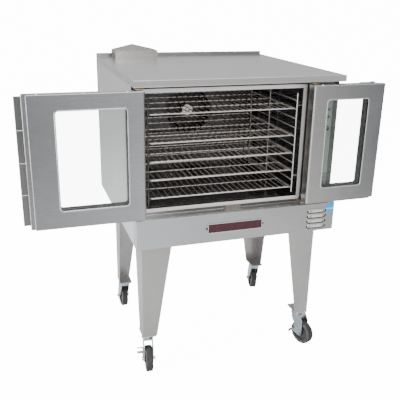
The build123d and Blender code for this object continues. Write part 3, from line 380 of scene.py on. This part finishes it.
def steel(name, light, dark, rough=(0.26, 0.4), grain=(5, 5, 420), lines=0.5, cloud=3.0, depth=0.00012,
          metallic=1.0, zone=None, zone_metallic=None):
    """Brushed stainless: grey between two tones by cloudy marks and grain lines; the grain also roughens.

    A zone (axis, start, end, light, dark) changes to two other tones past a place.
    """
    material, tree, shader, place = principled(name)
    streaks = use(tree, grain_group, place, Stretch=grain, Contrast=lines)
    marks = use(tree, cloud_group, place, Size=cloud, Amount=1.0)
    both = add(tree, "ShaderNodeMath", operation="MULTIPLY_ADD")
    both.inputs[1].default_value = CLOUD_SHARE
    tree.links.new(marks, both.inputs[0])
    lined = add(tree, "ShaderNodeMath", operation="MULTIPLY")
    lined.inputs[1].default_value = LINE_SHARE
    tree.links.new(streaks, lined.inputs[0])
    tree.links.new(lined.outputs[0], both.inputs[2])
    colour = blend_colours(tree, both.outputs[0], light, dark)
    if zone:
        axis, start, end, zone_light, zone_dark = zone
        past = zone_mask(tree, place, axis, start, end)
        join = add(tree, "ShaderNodeMix", data_type="RGBA")
        tree.links.new(past, join.inputs[0])
        tree.links.new(colour, join.inputs[6])
        tree.links.new(blend_colours(tree, both.outputs[0], zone_light, zone_dark), join.inputs[7])
        colour = join.outputs[2]
    tree.links.new(colour, shader.inputs["Base Color"])
    tree.links.new(blend_values(tree, both.outputs[0], *rough), shader.inputs["Roughness"])
    shader.inputs["Metallic"].default_value = metallic
    if zone_metallic is not None:
        tree.links.new(blend_values(tree, past, metallic, zone_metallic), shader.inputs["Metallic"])
    relief(tree, shader, streaks, depth)
    return material


def grey(value, warm=0.0):
    """A grey with a little warmth: red up and blue down by the same share."""
    return (value * (1 + warm), value, value * (1 - warm))


print("steel mixes", CLOUD_SHARE, "clouds and", LINE_SHARE, "lines")

# %% [markdown]
# ## Zones
# One folded sheet often shows two tones, because its faces look at different parts of the room.  Here those tones
# are painted into the colour: painted shade on the upstand along the back of the top, a painted highlight on the
# bead round the cavity, painted shade on the return at the right edge and on the control panel's right edge.
# Separate pieces would leave seams, so one material changes tone past a plane through the sheet, and the doors,
# the lower panel and the oven guides carry painted shading from side to side.

# %% zones
ALONG_X = (4, 60, 420)     # grain stretch: few lines along X, many across
ALONG_Z = (420, 420, 4)
# painted shade: the top steel turns dark on the upstand above the top
upstand_shade_zone = ("Z", top_z + 0.001, top_z + 0.003, grey(0.16), grey(0.1))
strike_zone = ("Z", floor_z + 1.0, floor_z + 1.2, (0.5, 0.38, 0.25), (0.24, 0.16, 0.1))
# painted light and shade on the guide chrome: a dark shaded copy before x = -0.15, a bright lit copy past x = -0.1
guide_light_shade_zone = ("X", -0.15, -0.1, grey(0.84, 0.02), grey(0.62, 0.06))
frame_front = float(low_high("front_frame")[0][1])
# painted highlight: the frame's front face turns near white and less metallic, the bright bead round the cavity
bead_highlight_zone = ("Y", frame_front + 0.0022, frame_front + 0.0014, grey(0.95, 0.03), grey(0.8, 0.05))
left_leaf, right_leaf = low_high("left_door_liner"), low_high("right_door_liner")
# painted shading: each door leaf's liner grows lighter from one side of its width to the other
left_leaf_shading_zone = ("X", left_leaf[0][0], left_leaf[1][0], grey(0.46, -0.01), grey(0.36, -0.01))
right_leaf_shading_zone = ("X", right_leaf[1][0], right_leaf[0][0], grey(0.5, 0.03), grey(0.38, 0.03))
panel_box = low_high("lower_front_panel")
# painted shading: the lower front panel grows darker from its left edge to its right edge
panel_shading_zone = ("X", panel_box[0][0], panel_box[1][0], grey(0.46, 0.02), grey(0.38, 0.03))
control_box, right_side_box = low_high("control_panel"), low_high("right_side_panel")
return_y = right_side_box[0][1]
# painted shade: the right side panel's front return turns near black, as it lies in shadow
return_shade_zone = ("Y", return_y + 0.0012, return_y + 0.0004, (0.1, 0.105, 0.1), (0.05, 0.055, 0.05))
# painted shade: a dark strip along the control panel's right edge
shadow_x = control_box[1][0] - 0.009
control_edge_shade_zone = ("X", shadow_x - 0.0005, shadow_x, (0.1, 0.11, 0.1), (0.05, 0.06, 0.05))
print("right edge return at y", round(return_y, 4))

# %% steels
finishes = {
    "top_steel": steel("top_steel", grey(0.76, 0.025), grey(0.62, 0.035), (0.16, 0.28), (4, 300, 300),
                       zone=upstand_shade_zone),
    "hood_steel": steel("hood_steel", grey(0.42, 0.03), grey(0.32, 0.03), (0.22, 0.34), ALONG_X),
    "side_steel": steel("side_steel", grey(0.8, 0.01), grey(0.72, 0.01), (0.3, 0.42), (420, 4, 420),
                        zone=return_shade_zone),
    "rear_steel": steel("rear_steel", grey(0.3, 0.01), grey(0.22, 0.01), (0.34, 0.46), ALONG_X),
    "base_steel": steel("base_steel", grey(0.3), grey(0.22), (0.36, 0.5), (60, 60, 60)),
    "front_steel": steel("front_steel", grey(0.56, -0.02), grey(0.48, -0.02), (0.24, 0.36), ALONG_X, 0.8,
                         zone=panel_shading_zone),
    # the frame's bead zone is a painted highlight, near white and less metallic
    "frame_steel": steel("frame_steel", grey(0.33, 0.07), grey(0.1, 0.14), (0.1, 0.24), (3, 60, 160), lines=1.0,
                         zone=bead_highlight_zone, zone_metallic=0.35),
    "control_steel": steel("control_steel", (0.4, 0.45, 0.41), (0.32, 0.37, 0.33), (0.3, 0.4), ALONG_X,
                           zone=control_edge_shade_zone),
    "door_skin_steel": steel("door_skin_steel", grey(0.56, 0.02), grey(0.48, 0.02), (0.26, 0.36), ALONG_X),
    # the liners carry painted shading across each leaf through their zones
    "left_liner_steel": steel("left_liner_steel", grey(0.3, -0.02), grey(0.2, -0.02), (0.24, 0.36), ALONG_X,
                              1.0, zone=left_leaf_shading_zone),
    "right_liner_steel": steel("right_liner_steel", grey(0.32, -0.01), grey(0.22, -0.01), (0.24, 0.36), ALONG_X,
                               1.0, zone=right_leaf_shading_zone),
    "astragal_steel": steel("astragal_steel", grey(0.22, 0.02), grey(0.13, 0.02), (0.24, 0.36), ALONG_Z),
    "handle_steel": steel("handle_steel", grey(0.7), grey(0.6), (0.14, 0.24), (300, 300, 4)),
    "catch_steel": steel("catch_steel", grey(0.5), grey(0.4), (0.3, 0.42), (200, 200, 200)),
    "leg_steel": steel("leg_steel", grey(0.48, 0.02), grey(0.38, 0.03), (0.26, 0.4), ALONG_Z, lines=0.7),
    "burner_steel": steel("burner_steel", grey(0.42, 0.04), grey(0.28, 0.06), (0.4, 0.6), (80, 80, 80)),
    "fan_steel": steel("fan_steel", grey(0.05, 0.02), grey(0.02, 0.05), (0.3, 0.44), (90, 90, 90)),
    "screw_steel": steel("screw_steel", grey(0.75), grey(0.6), (0.16, 0.26), (400, 400, 400)),
    "caster_zinc": steel("caster_zinc", (0.74, 0.8, 0.82), (0.4, 0.46, 0.48), (0.18, 0.4), (70, 70, 70),
                         cloud=40),
    "brake_steel": steel("brake_steel", (0.72, 0.78, 0.8), (0.4, 0.46, 0.5), (0.2, 0.4), (70, 70, 70),
                         cloud=40),
    "bulb_steel": steel("bulb_steel", grey(0.8, 0.02), grey(0.66, 0.05), (0.12, 0.22), (300, 20, 20)),
    "hinge_metal": steel("hinge_metal", grey(0.6, 0.05), grey(0.3, 0.1), (0.2, 0.4), (200, 200, 200), cloud=60,
                         zone=strike_zone),
    "rack_chrome": steel("rack_chrome", grey(0.97, 0.05), grey(0.7, 0.12), (0.1, 0.26), (30, 30, 30), cloud=14,
                         metallic=0.75),
    # painted shade and light: the guide chrome is dark chrome on one guide and bright chrome past its zone
    "guide_chrome": steel("guide_chrome", grey(0.12, 0.02), grey(0.06, 0.06), (0.12, 0.28), (30, 30, 30),
                          cloud=9, metallic=0.6, zone=guide_light_shade_zone),
}
print(len(finishes), "steels")


# %% [markdown]
# ## Enamel, rubber and plastic
# The cavity is black porcelain enamel, glossy and faintly rippled; the tyres and channels are rubber; knobs and
# lamps are moulded.  Each could have its own node tree, but they differ only in amounts, so one function
# serves.


# %% coated finishes
def coated(name, base, speck, rough, metallic=0.0, speck_size=90, relief_size=260, depth=0.0001, coat=0.0):
    """A paint, enamel, plastic or rubber: two close colours by specks, fine relief, and a clear coat if any."""
    material, tree, shader, place = principled(name)
    specks = use(tree, cloud_group, place, Size=speck_size, Amount=1.0)
    fine = use(tree, cloud_group, place, Size=relief_size, Amount=1.0)
    tree.links.new(blend_colours(tree, specks, base, speck), shader.inputs["Base Color"])
    tree.links.new(blend_values(tree, specks, *rough), shader.inputs["Roughness"])
    shader.inputs["Metallic"].default_value = metallic
    shader.inputs["Coat Weight"].default_value = coat
    shader.inputs["Coat Roughness"].default_value = 0.06
    relief(tree, shader, fine, depth)
    return material


finishes |= {
    "porcelain": coated("porcelain", (0.006, 0.006, 0.009), (0.014, 0.012, 0.012), (0.07, 0.2), 0, 7, 25,
                        0.0006, 0.6),
    "baffle_porcelain": coated("baffle_porcelain", (0.01, 0.012, 0.016), (0.02, 0.02, 0.02), (0.1, 0.24), 0, 6,
                               22, 0.0008, 0.6),
    "motor_paint": coated("motor_paint", (0.03, 0.03, 0.033), (0.05, 0.05, 0.05), (0.4, 0.55)),
    "seal_rubber": coated("seal_rubber", (0.012, 0.012, 0.013), (0.02, 0.02, 0.02), (0.5, 0.7)),
    "knob_plastic": coated("knob_plastic", (0.012, 0.012, 0.012), (0.02, 0.02, 0.02), (0.34, 0.48)),
    "switch_plastic": coated("switch_plastic", (0.01, 0.01, 0.01), (0.016, 0.016, 0.016), (0.2, 0.3)),
    "gland_plastic": coated("gland_plastic", (0.014, 0.014, 0.014), (0.022, 0.022, 0.022), (0.4, 0.6)),
    "hub_plastic": coated("hub_plastic", (0.035, 0.036, 0.04), (0.07, 0.07, 0.075), (0.36, 0.55)),
    "tyre_rubber": coated("tyre_rubber", (0.018, 0.018, 0.02), (0.06, 0.058, 0.055), (0.48, 0.75), 0, 40, 300,
                          0.0002),
    "wool": coated("wool", (0.62, 0.55, 0.4), (0.45, 0.38, 0.25), (0.9, 1.0), 0, 60, 120, 0.002),
    "nameplate": coated("nameplate", (0.045, 0.002, 0.008), (0.07, 0.004, 0.014), (0.2, 0.32), 0, 30, 200,
                        0.00005),
    "lamp_lens": coated("lamp_lens", (0.03, 0.008, 0.006), (0.05, 0.01, 0.008), (0.1, 0.2), 0, 60, 300,
                        0.00005, 0.8),
}
# painted highlight: the louvre hoods are near white and barely metallic, so they read as lit from above
louvre_highlight_steel = steel("louvre_highlight_steel", grey(0.95, 0.03), grey(0.85, 0.04), (0.2, 0.3), ALONG_X, metallic=0.4)
# painted highlight: the moulded ridges are a lighter grey than the tyre's rubber, for the light they catch
wheel_ridge_highlight = coated("wheel_ridge_highlight", (0.16, 0.16, 0.165), (0.26, 0.26, 0.265), (0.35, 0.5), 0, 60, 200, 0.0001)
label_film = coated("label_film", (0.0, 0.46, 1.0), (0.0, 0.5, 1.0), (0.3, 0.42), 0, 200, 300, 0.00002)
label_paper = coated("label_paper", (0.75, 0.85, 0.92), (0.68, 0.8, 0.9), (0.4, 0.5), 0, 200, 300, 0.00002)
print(len(finishes), "finishes with the coated ones")

# %% [markdown]
# ## Window glass
# The panes are clear toughened glass with a faint green body.  A tinted transparent shader would be enough for
# the colour, but real transmission also bends and reflects, so the panes show against the bright floor.


# %% window glass
def window_glass(name):
    """Clear toughened glass with a faint green body and light smears that raise its roughness."""
    material, tree, shader, place = principled(name)
    smear = use(tree, cloud_group, place, Size=5.0, Amount=1.0)
    tint = blend_colours(tree, smear, (0.93, 0.965, 0.935), (0.91, 0.95, 0.92))
    tree.links.new(tint, shader.inputs["Base Color"])
    tree.links.new(blend_values(tree, smear, 0.0, 0.03), shader.inputs["Roughness"])
    shader.inputs["Transmission Weight"].default_value = 1.0
    shader.inputs["IOR"].default_value = 1.45
    return material


finishes["door_glass"] = window_glass("door_glass")

# %% every CAD node takes the finish of its slot
slot_of = {part["node"]: part["material_slot"] for part in frame["record"]["subparts"]}
for name, piece in nodes.items():
    piece.data.materials.clear()
    piece.data.materials.append(finishes[slot_of[name]])
print(len(nodes), "nodes finished with", len(finishes), "finishes")

# %% [markdown]
# ## Window channels and rims
# Each leaf's two panes stand in a black rubber channel, which shows as a dark line at the bottom and on the
# far side of the window.  A thin folded rim goes round the opening on the inner face.  A bevelled curve could
# make them, but a curve's corners twist.  Here both are one short profile carried round a rounded rectangle.

# %% windows
GLASS_LAP = 0.012          # the panes are this much wider than the opening, on each side
CHANNEL = 0.003            # thickness of the rubber
WINDOW_CORNER = 0.012
RIM_PROFILE = [(-0.0008, 0.001), (-0.0004, -0.0008), (0.0022, -0.0013), (0.0048, -0.0008), (0.0052, 0.001)]
for side in ("left", "right"):
    pane_low, pane_high = low_high(f"{side}_door_glass")
    inner_y = low_high(f"{side}_door_liner")[0][1]
    centre = (pane_low + pane_high) / 2
    size = (pane_high[0] - pane_low[0] - 2 * GLASS_LAP, pane_high[2] - pane_low[2] - 2 * GLASS_LAP)
    front, back = inner_y + 0.0006, pane_high[1] - 0.0045
    channel = [(-0.0006, front), (-0.0006, back), (CHANNEL, back), (CHANNEL, front)]
    origin = (centre[0], 0.0, centre[2])
    surface(f"{side}_window_channel", [ring_along(origin, size, WINDOW_CORNER, channel)], f"{side}_door",
            finishes["seal_rubber"])
    rim = [(outwards, inner_y + depth) for outwards, depth in RIM_PROFILE]
    shade_smooth(surface(f"{side}_window_rim", [ring_along(origin, size, WINDOW_CORNER, rim)], f"{side}_door",
                         finishes["handle_steel"]), 1.2)
    print(side, "window", round(size[0], 3), "by", round(size[1], 3))

# %% [markdown]
# ## Label and nameplate rim
# Flat trim is a rounded outline carried through its small thickness.  The nameplate has no lettering: it is a
# plain enamel plate in a bright rim, and the label is a plain blue film with one pale band.  Painting them on
# the panel by a mask would be lighter, but film and rim have thickness, and their edges catch the light.


# %% flat trim
def plate(centre, size, corner, thickness, edge=0.0004):
    """Grid of a flat plate facing -Y: its outline at the back, at the front, and drawn in by a small edge."""
    loops = []
    for inset, depth in ((0, 0), (0, -thickness + edge), (edge, -thickness)):
        loop = rounded_outline(size[0] - 2 * inset, size[1] - 2 * inset, corner - inset)
        loops.append(np.column_stack([centre[0] + loop[:, 0], np.full(len(loop), centre[1] + depth),
                                      centre[2] + loop[:, 1]]))
    return np.array(loops), False, True, True


ledge_z = panel_box[1][2]
LABEL = (0.041, 0.046)
LABEL_BAND = (0.037, 0.006)
label_centre = np.array([right_x - 0.025, front_y - 0.0001, ledge_z - 0.026])
surface("energy_label", [plate(label_centre, LABEL, 0.003, 0.0006, 0.0002)], "cabinet", label_film)
band = plate(label_centre + (0, -0.0006, -0.004), LABEL_BAND, 0.001, 0.0003, 0.0001)
surface("energy_label_band", [band], "cabinet", label_paper)
print("label", LABEL, "with a band", LABEL_BAND)

# %% nameplate rim
PIN_REACH = 0.0095         # the end pins stand this far past the plate
plate_low, plate_high = low_high("nameplate")
plate_size = (plate_high[0] - plate_low[0] - 2 * PIN_REACH, plate_high[2] - plate_low[2])
plate_middle = ((plate_low[0] + plate_high[0]) / 2, 0, (plate_low[2] + plate_high[2]) / 2)
plate_y = plate_low[1]
rim = [(-0.0022, plate_y + 0.001), (-0.0018, plate_y - 0.0012), (0.0014, plate_y - 0.0012),
       (0.0022, plate_y + 0.0019)]
shade_smooth(surface("nameplate_rim", [ring_along(plate_middle, plate_size, 0.004, rim)], "cabinet",
                     finishes["screw_steel"]), 1.0)
print("nameplate", tuple(np.round(plate_size, 3)))

# %% [markdown]
# ## Louvres
# A pressed louvre is a long pillow: round across and round at both ends.  Its height over the panel is the
# depth times (1 - u^4)(1 - v^2)^(1/2), with u along it and v across, so it is flat on top and steep at the rim.
# A bevelled box would have the same outline, but its even bevel lacks the soft ends that pressing gives.

# %% louvres
LOUVRE_CENTRE = left_x + 0.872
LOUVRES = 4
LOUVRE_TOP = 0.034         # first louvre's middle under the ledge
LOUVRE_PITCH = 0.0255
LOUVRE_HALF = (0.045, 0.0084)
LOUVRE_OUT = 0.0088
MOUTH_SHADE = (0.088, 0.0052)    # painted shade: a dark plate on the panel face under each hood, over the real opening
END_GAP_SHADE = (0.01, 0.012)     # painted shade: a dark plate at each end of a hood, over the real end gap


def pillow(centre, half, out, rows=33, columns=13):
    """Grid of one pressed louvre facing -Y, with the formula above, closed by a flat back inside the panel."""
    u = np.sin(np.linspace(-np.pi / 2, np.pi / 2, rows))[:, None]
    v = np.sin(np.linspace(-np.pi / 2, np.pi / 2, columns))[None]
    height = out * (1 - u ** 4) * np.sqrt(1 - v ** 2)
    tall = half[1] * v * np.sqrt(1 - 0.5 * u ** 8)
    front = np.stack([centre[0] + half[0] * u + 0 * v, centre[1] - height, centre[2] + tall], axis=-1)
    back = front[:, [-1, 0]] + (0, 0.0006, 0)
    return np.concatenate([front, back], axis=1), False, True, True


hoods, gap_shades = [], []
for row in range(LOUVRES):
    z = ledge_z - LOUVRE_TOP - row * LOUVRE_PITCH
    hoods.append(pillow((LOUVRE_CENTRE, front_y + 0.0004, z), LOUVRE_HALF, LOUVRE_OUT))
    gap_shades.append(plate((LOUVRE_CENTRE, front_y - 0.0001, z - 0.0108), MOUTH_SHADE, 0.0025, 0.0004, 0.0001))
    for end in (-1, 1):
        end_x = LOUVRE_CENTRE + end * (LOUVRE_HALF[0] + 0.001)
        gap_shades.append(plate((end_x, front_y - 0.0001, z - 0.003), END_GAP_SHADE, 0.0045, 0.0006, 0.0001))
shade_smooth(surface("louvre_hoods", hoods, "cabinet", louvre_highlight_steel), 1.5)
# the dark plates are painted shade under and beside the hoods, where the louvres' openings are
surface("louvre_gap_shades", gap_shades, "cabinet", finishes["seal_rubber"])
print(LOUVRES, "louvres at x", round(LOUVRE_CENTRE, 3))

# %% [markdown]
# ## Bright folds
# Sheet steel is folded, never cut square, and every fold shines as a thin line.  A bevel on the CAD pans would
# show it too, but a CAD node's mesh isn't changed.  So each fold is a slim round rod sunk to its middle in the
# edge, and only its outer half shows.

# %% folds
FOLD_R = 0.0013


def upright(x, y, z, radius=FOLD_R):
    """Grid of a straight fold at x and y, between two heights."""
    return tube(np.linspace((x, y, z[0]), (x, y, z[1]), 3), radius, 8)


def level_fold(x, y, z, radius=FOLD_R):
    """Grid of a straight fold at y and height z, between two places across."""
    return tube(np.linspace((x[0], y, z), (x[1], y, z), 3), radius, 8)


def folds(name, body, grids):
    """One bright object from several folds."""
    return shade_smooth(surface(name, grids, body, finishes["handle_steel"]), 1.5)


print("folds are", 2 * FOLD_R, "m across")

# %% left leaf and its cover strip
STEP_W = 0.017             # the liner's outer edge is stepped back by this width
leaf_z = (left_leaf[0][2] + 0.003, left_leaf[1][2] - 0.003)
leaf_top = leaf_z[1] + 0.0024
face_y = left_leaf[0][1]
step_x = left_leaf[0][0] + STEP_W
strip_low, strip_high = low_high("left_door_astragal")
left_folds = [
    upright(step_x, face_y + 0.0006, leaf_z, 0.002),
    upright(left_leaf[0][0] + 0.0006, face_y + 0.0126, leaf_z, 0.0018),
    upright(left_leaf[1][0] - 0.004, face_y + 0.0042, leaf_z),
    upright(strip_low[0] + 0.0006, strip_high[1] - 0.0006, (strip_low[2] + 0.002, strip_high[2] - 0.002)),
    level_fold((step_x, left_leaf[1][0] - 0.006), face_y + 0.0006, leaf_top),
]
rib_x = (strip_low[0] + 0.001, strip_low[0] + 0.026)
for share in (0.25, 0.5, 0.75):
    z = strip_low[2] + share * (strip_high[2] - strip_low[2])
    left_folds.append(level_fold(rib_x, strip_high[1] - 0.0032, z, 0.0022))
folds("left_door_folds", "left_door", left_folds)
print(len(left_folds), "folds on the left leaf")

# %% right leaf and body
face_y = right_leaf[0][1]
right_folds = [
    upright(right_leaf[0][0] + 0.004, face_y + 0.0042, leaf_z, 0.0018),
    level_fold((right_leaf[0][0] + 0.006, right_leaf[1][0] - 0.006), face_y + 0.0006, leaf_top),
]
folds("right_door_folds", "right_door", right_folds)
body_x = (left_x + 0.004, right_x - 0.004)
frame_low, frame_high = low_high("front_frame")
body_folds = [
    level_fold(body_x, front_y + 0.0006, lip_z + 0.0008),
    level_fold(body_x, front_y + 0.0008, top_z - 0.0012),
    level_fold(body_x, front_y + 0.0008, ledge_z - 0.0014),
    level_fold((frame_low[0] + 0.004, frame_high[0] - 0.004), frame_front + 0.003, ledge_z + 0.0016, 0.0015),
]
folds("body_folds", "cabinet", body_folds)
print(len(right_folds), "folds on the right leaf,", len(body_folds), "on the body")

# %% [markdown]
# ## Fan hub and door screws
# The blower wheel is dark, but its hub nut catches the light behind the top racks, and three screws shine on
# the top edge of each leaf.  They could be cylinders, but a turned part has a rounded shoulder, so each is a
# profile carried round an axis.

# %% fan hub
NUT_PROFILE = [(0, 0.028), (0.002, 0.03), (0.004, 0.028), (0.005, 0.012), (0.012, 0.011), (0.014, 0.008)]
fan_low, fan_high = low_high("fan_wheel")
fan_x, fan_z = (fan_low[0] + fan_high[0]) / 2, (fan_low[2] + fan_high[2]) / 2
hub = lathe((fan_x, fan_low[1], fan_z), (0, -1, 0), NUT_PROFILE)
shade_smooth(surface("fan_hub_nut", [hub], "fan", finishes["screw_steel"]))
print("fan hub at", round(fan_x, 3), round(fan_z, 3))

# %% door screws
HEAD_PROFILE = [(0, 0.0045), (0.0012, 0.0042), (0.0024, 0.0026)]
HEAD_SHARES = (0.12, 0.5, 0.86)    # of the leaf's width
for side, leaf in (("left", left_leaf), ("right", right_leaf)):
    heads = []
    for share in HEAD_SHARES:
        x = leaf[0][0] + share * (leaf[1][0] - leaf[0][0])
        heads.append(lathe((x, (leaf[0][1] + leaf[1][1]) / 2, leaf[1][2]), (0, 0, 1), HEAD_PROFILE, 12))
    surface(f"{side}_door_top_screws", heads, f"{side}_door", finishes["screw_steel"])
print(len(HEAD_SHARES), "screws on each leaf")

# %% [markdown]
# ## Wheel ridges
# The rubber tyres have two moulded ridges on each side.  A bump could draw them, but they show at the tyre's
# edge.  Each is a thin ring round the wheel's own axle, whose direction comes from the rolling joint.

# %% wheel ridges
WHEEL_HALF = 0.0159        # from the wheel's middle to its side
RIDGES = (0.0485, 0.0555)  # their radii
round_angle = np.linspace(0, 2 * np.pi, 48, endpoint=False)[:, None]
for joint in frame["joints"]:
    if not joint["name"].endswith("_roll"):
        continue
    corner = joint["name"][: -len("_roll")]
    tyre_low, tyre_high = low_high(f"{corner}_tyre")
    axle = np.array(joint["axis"], float)
    across_axle = np.cross(axle, (0, 0, 1.0))
    wheel_centre = (tyre_low + tyre_high) / 2
    circle = np.cos(round_angle) * across_axle + np.sin(round_angle) * np.array([0, 0, 1.0])
    ridges = [tube(wheel_centre + face * WHEEL_HALF * axle + ridge * circle, 0.0012, 6, closed=True)
              for face in (-1, 1) for ridge in RIDGES]
    shade_smooth(surface(f"{corner}_wheel_ridges", ridges, f"{corner}_wheel", wheel_ridge_highlight), 1.5)
print("ridges on four wheels")

# %% [markdown]
# ## Stage
# A pale floor runs up into a pale backdrop, with big soft lights overhead and at the left, as a product table
# has.  The steel shows mostly what surrounds it, so the lights are large and the room is light grey.  A lit
# white floor would throw too much light up, so the paper glows only where the eye meets it straight or
# through glass, and stays plain paper for everything that it lights or is reflected in.

# %% floor and backdrop
sweep_angle = np.linspace(0, np.pi / 2, 12)
run = np.concatenate([[-9.0], 7.0 + 2.5 * np.sin(sweep_angle), [9.5]])
rise = np.concatenate([[0.0], 2.5 - 2.5 * np.cos(sweep_angle), [9.0]])
sheet_x = np.array([-12.0, 12.0])
level_z = rise + floor_z - 0.0005
lines = np.broadcast_arrays(sheet_x[None], run[:, None], level_z[:, None])
first = 2 * np.arange(len(run) - 1)[:, None]
backdrop_mesh = bpy.data.meshes.new("backdrop")
backdrop_mesh.from_pydata(np.stack(lines, axis=-1).reshape(-1, 3).tolist(), [], (first + [0, 1, 3, 2]).tolist())
backdrop_mesh.polygons.foreach_set("use_smooth", np.ones(len(first), bool))
backdrop = bpy.data.objects.new("backdrop", backdrop_mesh)
bpy.context.scene.collection.objects.link(backdrop)
print("floor runs from", run[0], "to", run[-1])

# %% glowing paper
GLOW = 14.0
paper, paper_tree, paper_shader, _ = principled("paper")
paper_shader.inputs["Base Color"].default_value = (0.86, 0.86, 0.86, 1)
paper_shader.inputs["Roughness"].default_value = 0.9
paper_shader.inputs["Emission Color"].default_value = (1, 1, 1, 1)
lit = paper_tree.nodes.new("ShaderNodeLightPath")
glow = add(paper_tree, "ShaderNodeMath", operation="MULTIPLY")
glow.inputs[1].default_value = GLOW
through = add(paper_tree, "ShaderNodeMath", operation="MAXIMUM")
bounces = add(paper_tree, "ShaderNodeMath", operation="ADD")
direct = add(paper_tree, "ShaderNodeMath", operation="LESS_THAN")
direct.inputs[1].default_value = 0.5
seen = add(paper_tree, "ShaderNodeMath", operation="MULTIPLY")
paper_tree.links.new(lit.outputs["Is Camera Ray"], through.inputs[0])
paper_tree.links.new(lit.outputs["Is Transmission Ray"], through.inputs[1])
paper_tree.links.new(lit.outputs["Diffuse Depth"], bounces.inputs[0])
paper_tree.links.new(lit.outputs["Glossy Depth"], bounces.inputs[1])
paper_tree.links.new(bounces.outputs[0], direct.inputs[0])
paper_tree.links.new(through.outputs[0], seen.inputs[0])
paper_tree.links.new(direct.outputs[0], seen.inputs[1])
paper_tree.links.new(seen.outputs[0], glow.inputs[0])
paper_tree.links.new(glow.outputs[0], paper_shader.inputs["Emission Strength"])
backdrop_mesh.materials.append(paper)
print("paper glows", GLOW)


# %% lights and room
def softbox(name, place, target, width, height, power):
    """A rectangular area light at a place, turned towards a target."""
    light = bpy.data.lights.new(name, "AREA")
    light.shape = "RECTANGLE"
    light.size = width
    light.size_y = height
    light.energy = power
    made = bpy.data.objects.new(name, light)
    made.location = place
    made.rotation_mode = "QUATERNION"
    made.rotation_quaternion = (Vector(target) - Vector(place)).to_track_quat("-Z", "Y")
    bpy.context.scene.collection.objects.link(made)


middle = (0.0, 0.0, 1.0)
softbox("overhead", (0.2, 0.4, 3.6), middle, 3.6, 3.2, 130)
softbox("left_key", (-3.6, -0.6, 1.6), middle, 2.6, 2.8, 170)
softbox("front_fill", (-0.4, -4.6, 2.6), middle, 2.2, 1.6, 60)

world = bpy.data.worlds.new("room")
world.use_nodes = True
room = world.node_tree.nodes["Background"]
room.inputs["Color"].default_value = (0.9, 0.92, 0.95, 1)
room.inputs["Strength"].default_value = 0.75
bpy.context.scene.world = world
print(len(bpy.data.lights), "lights")
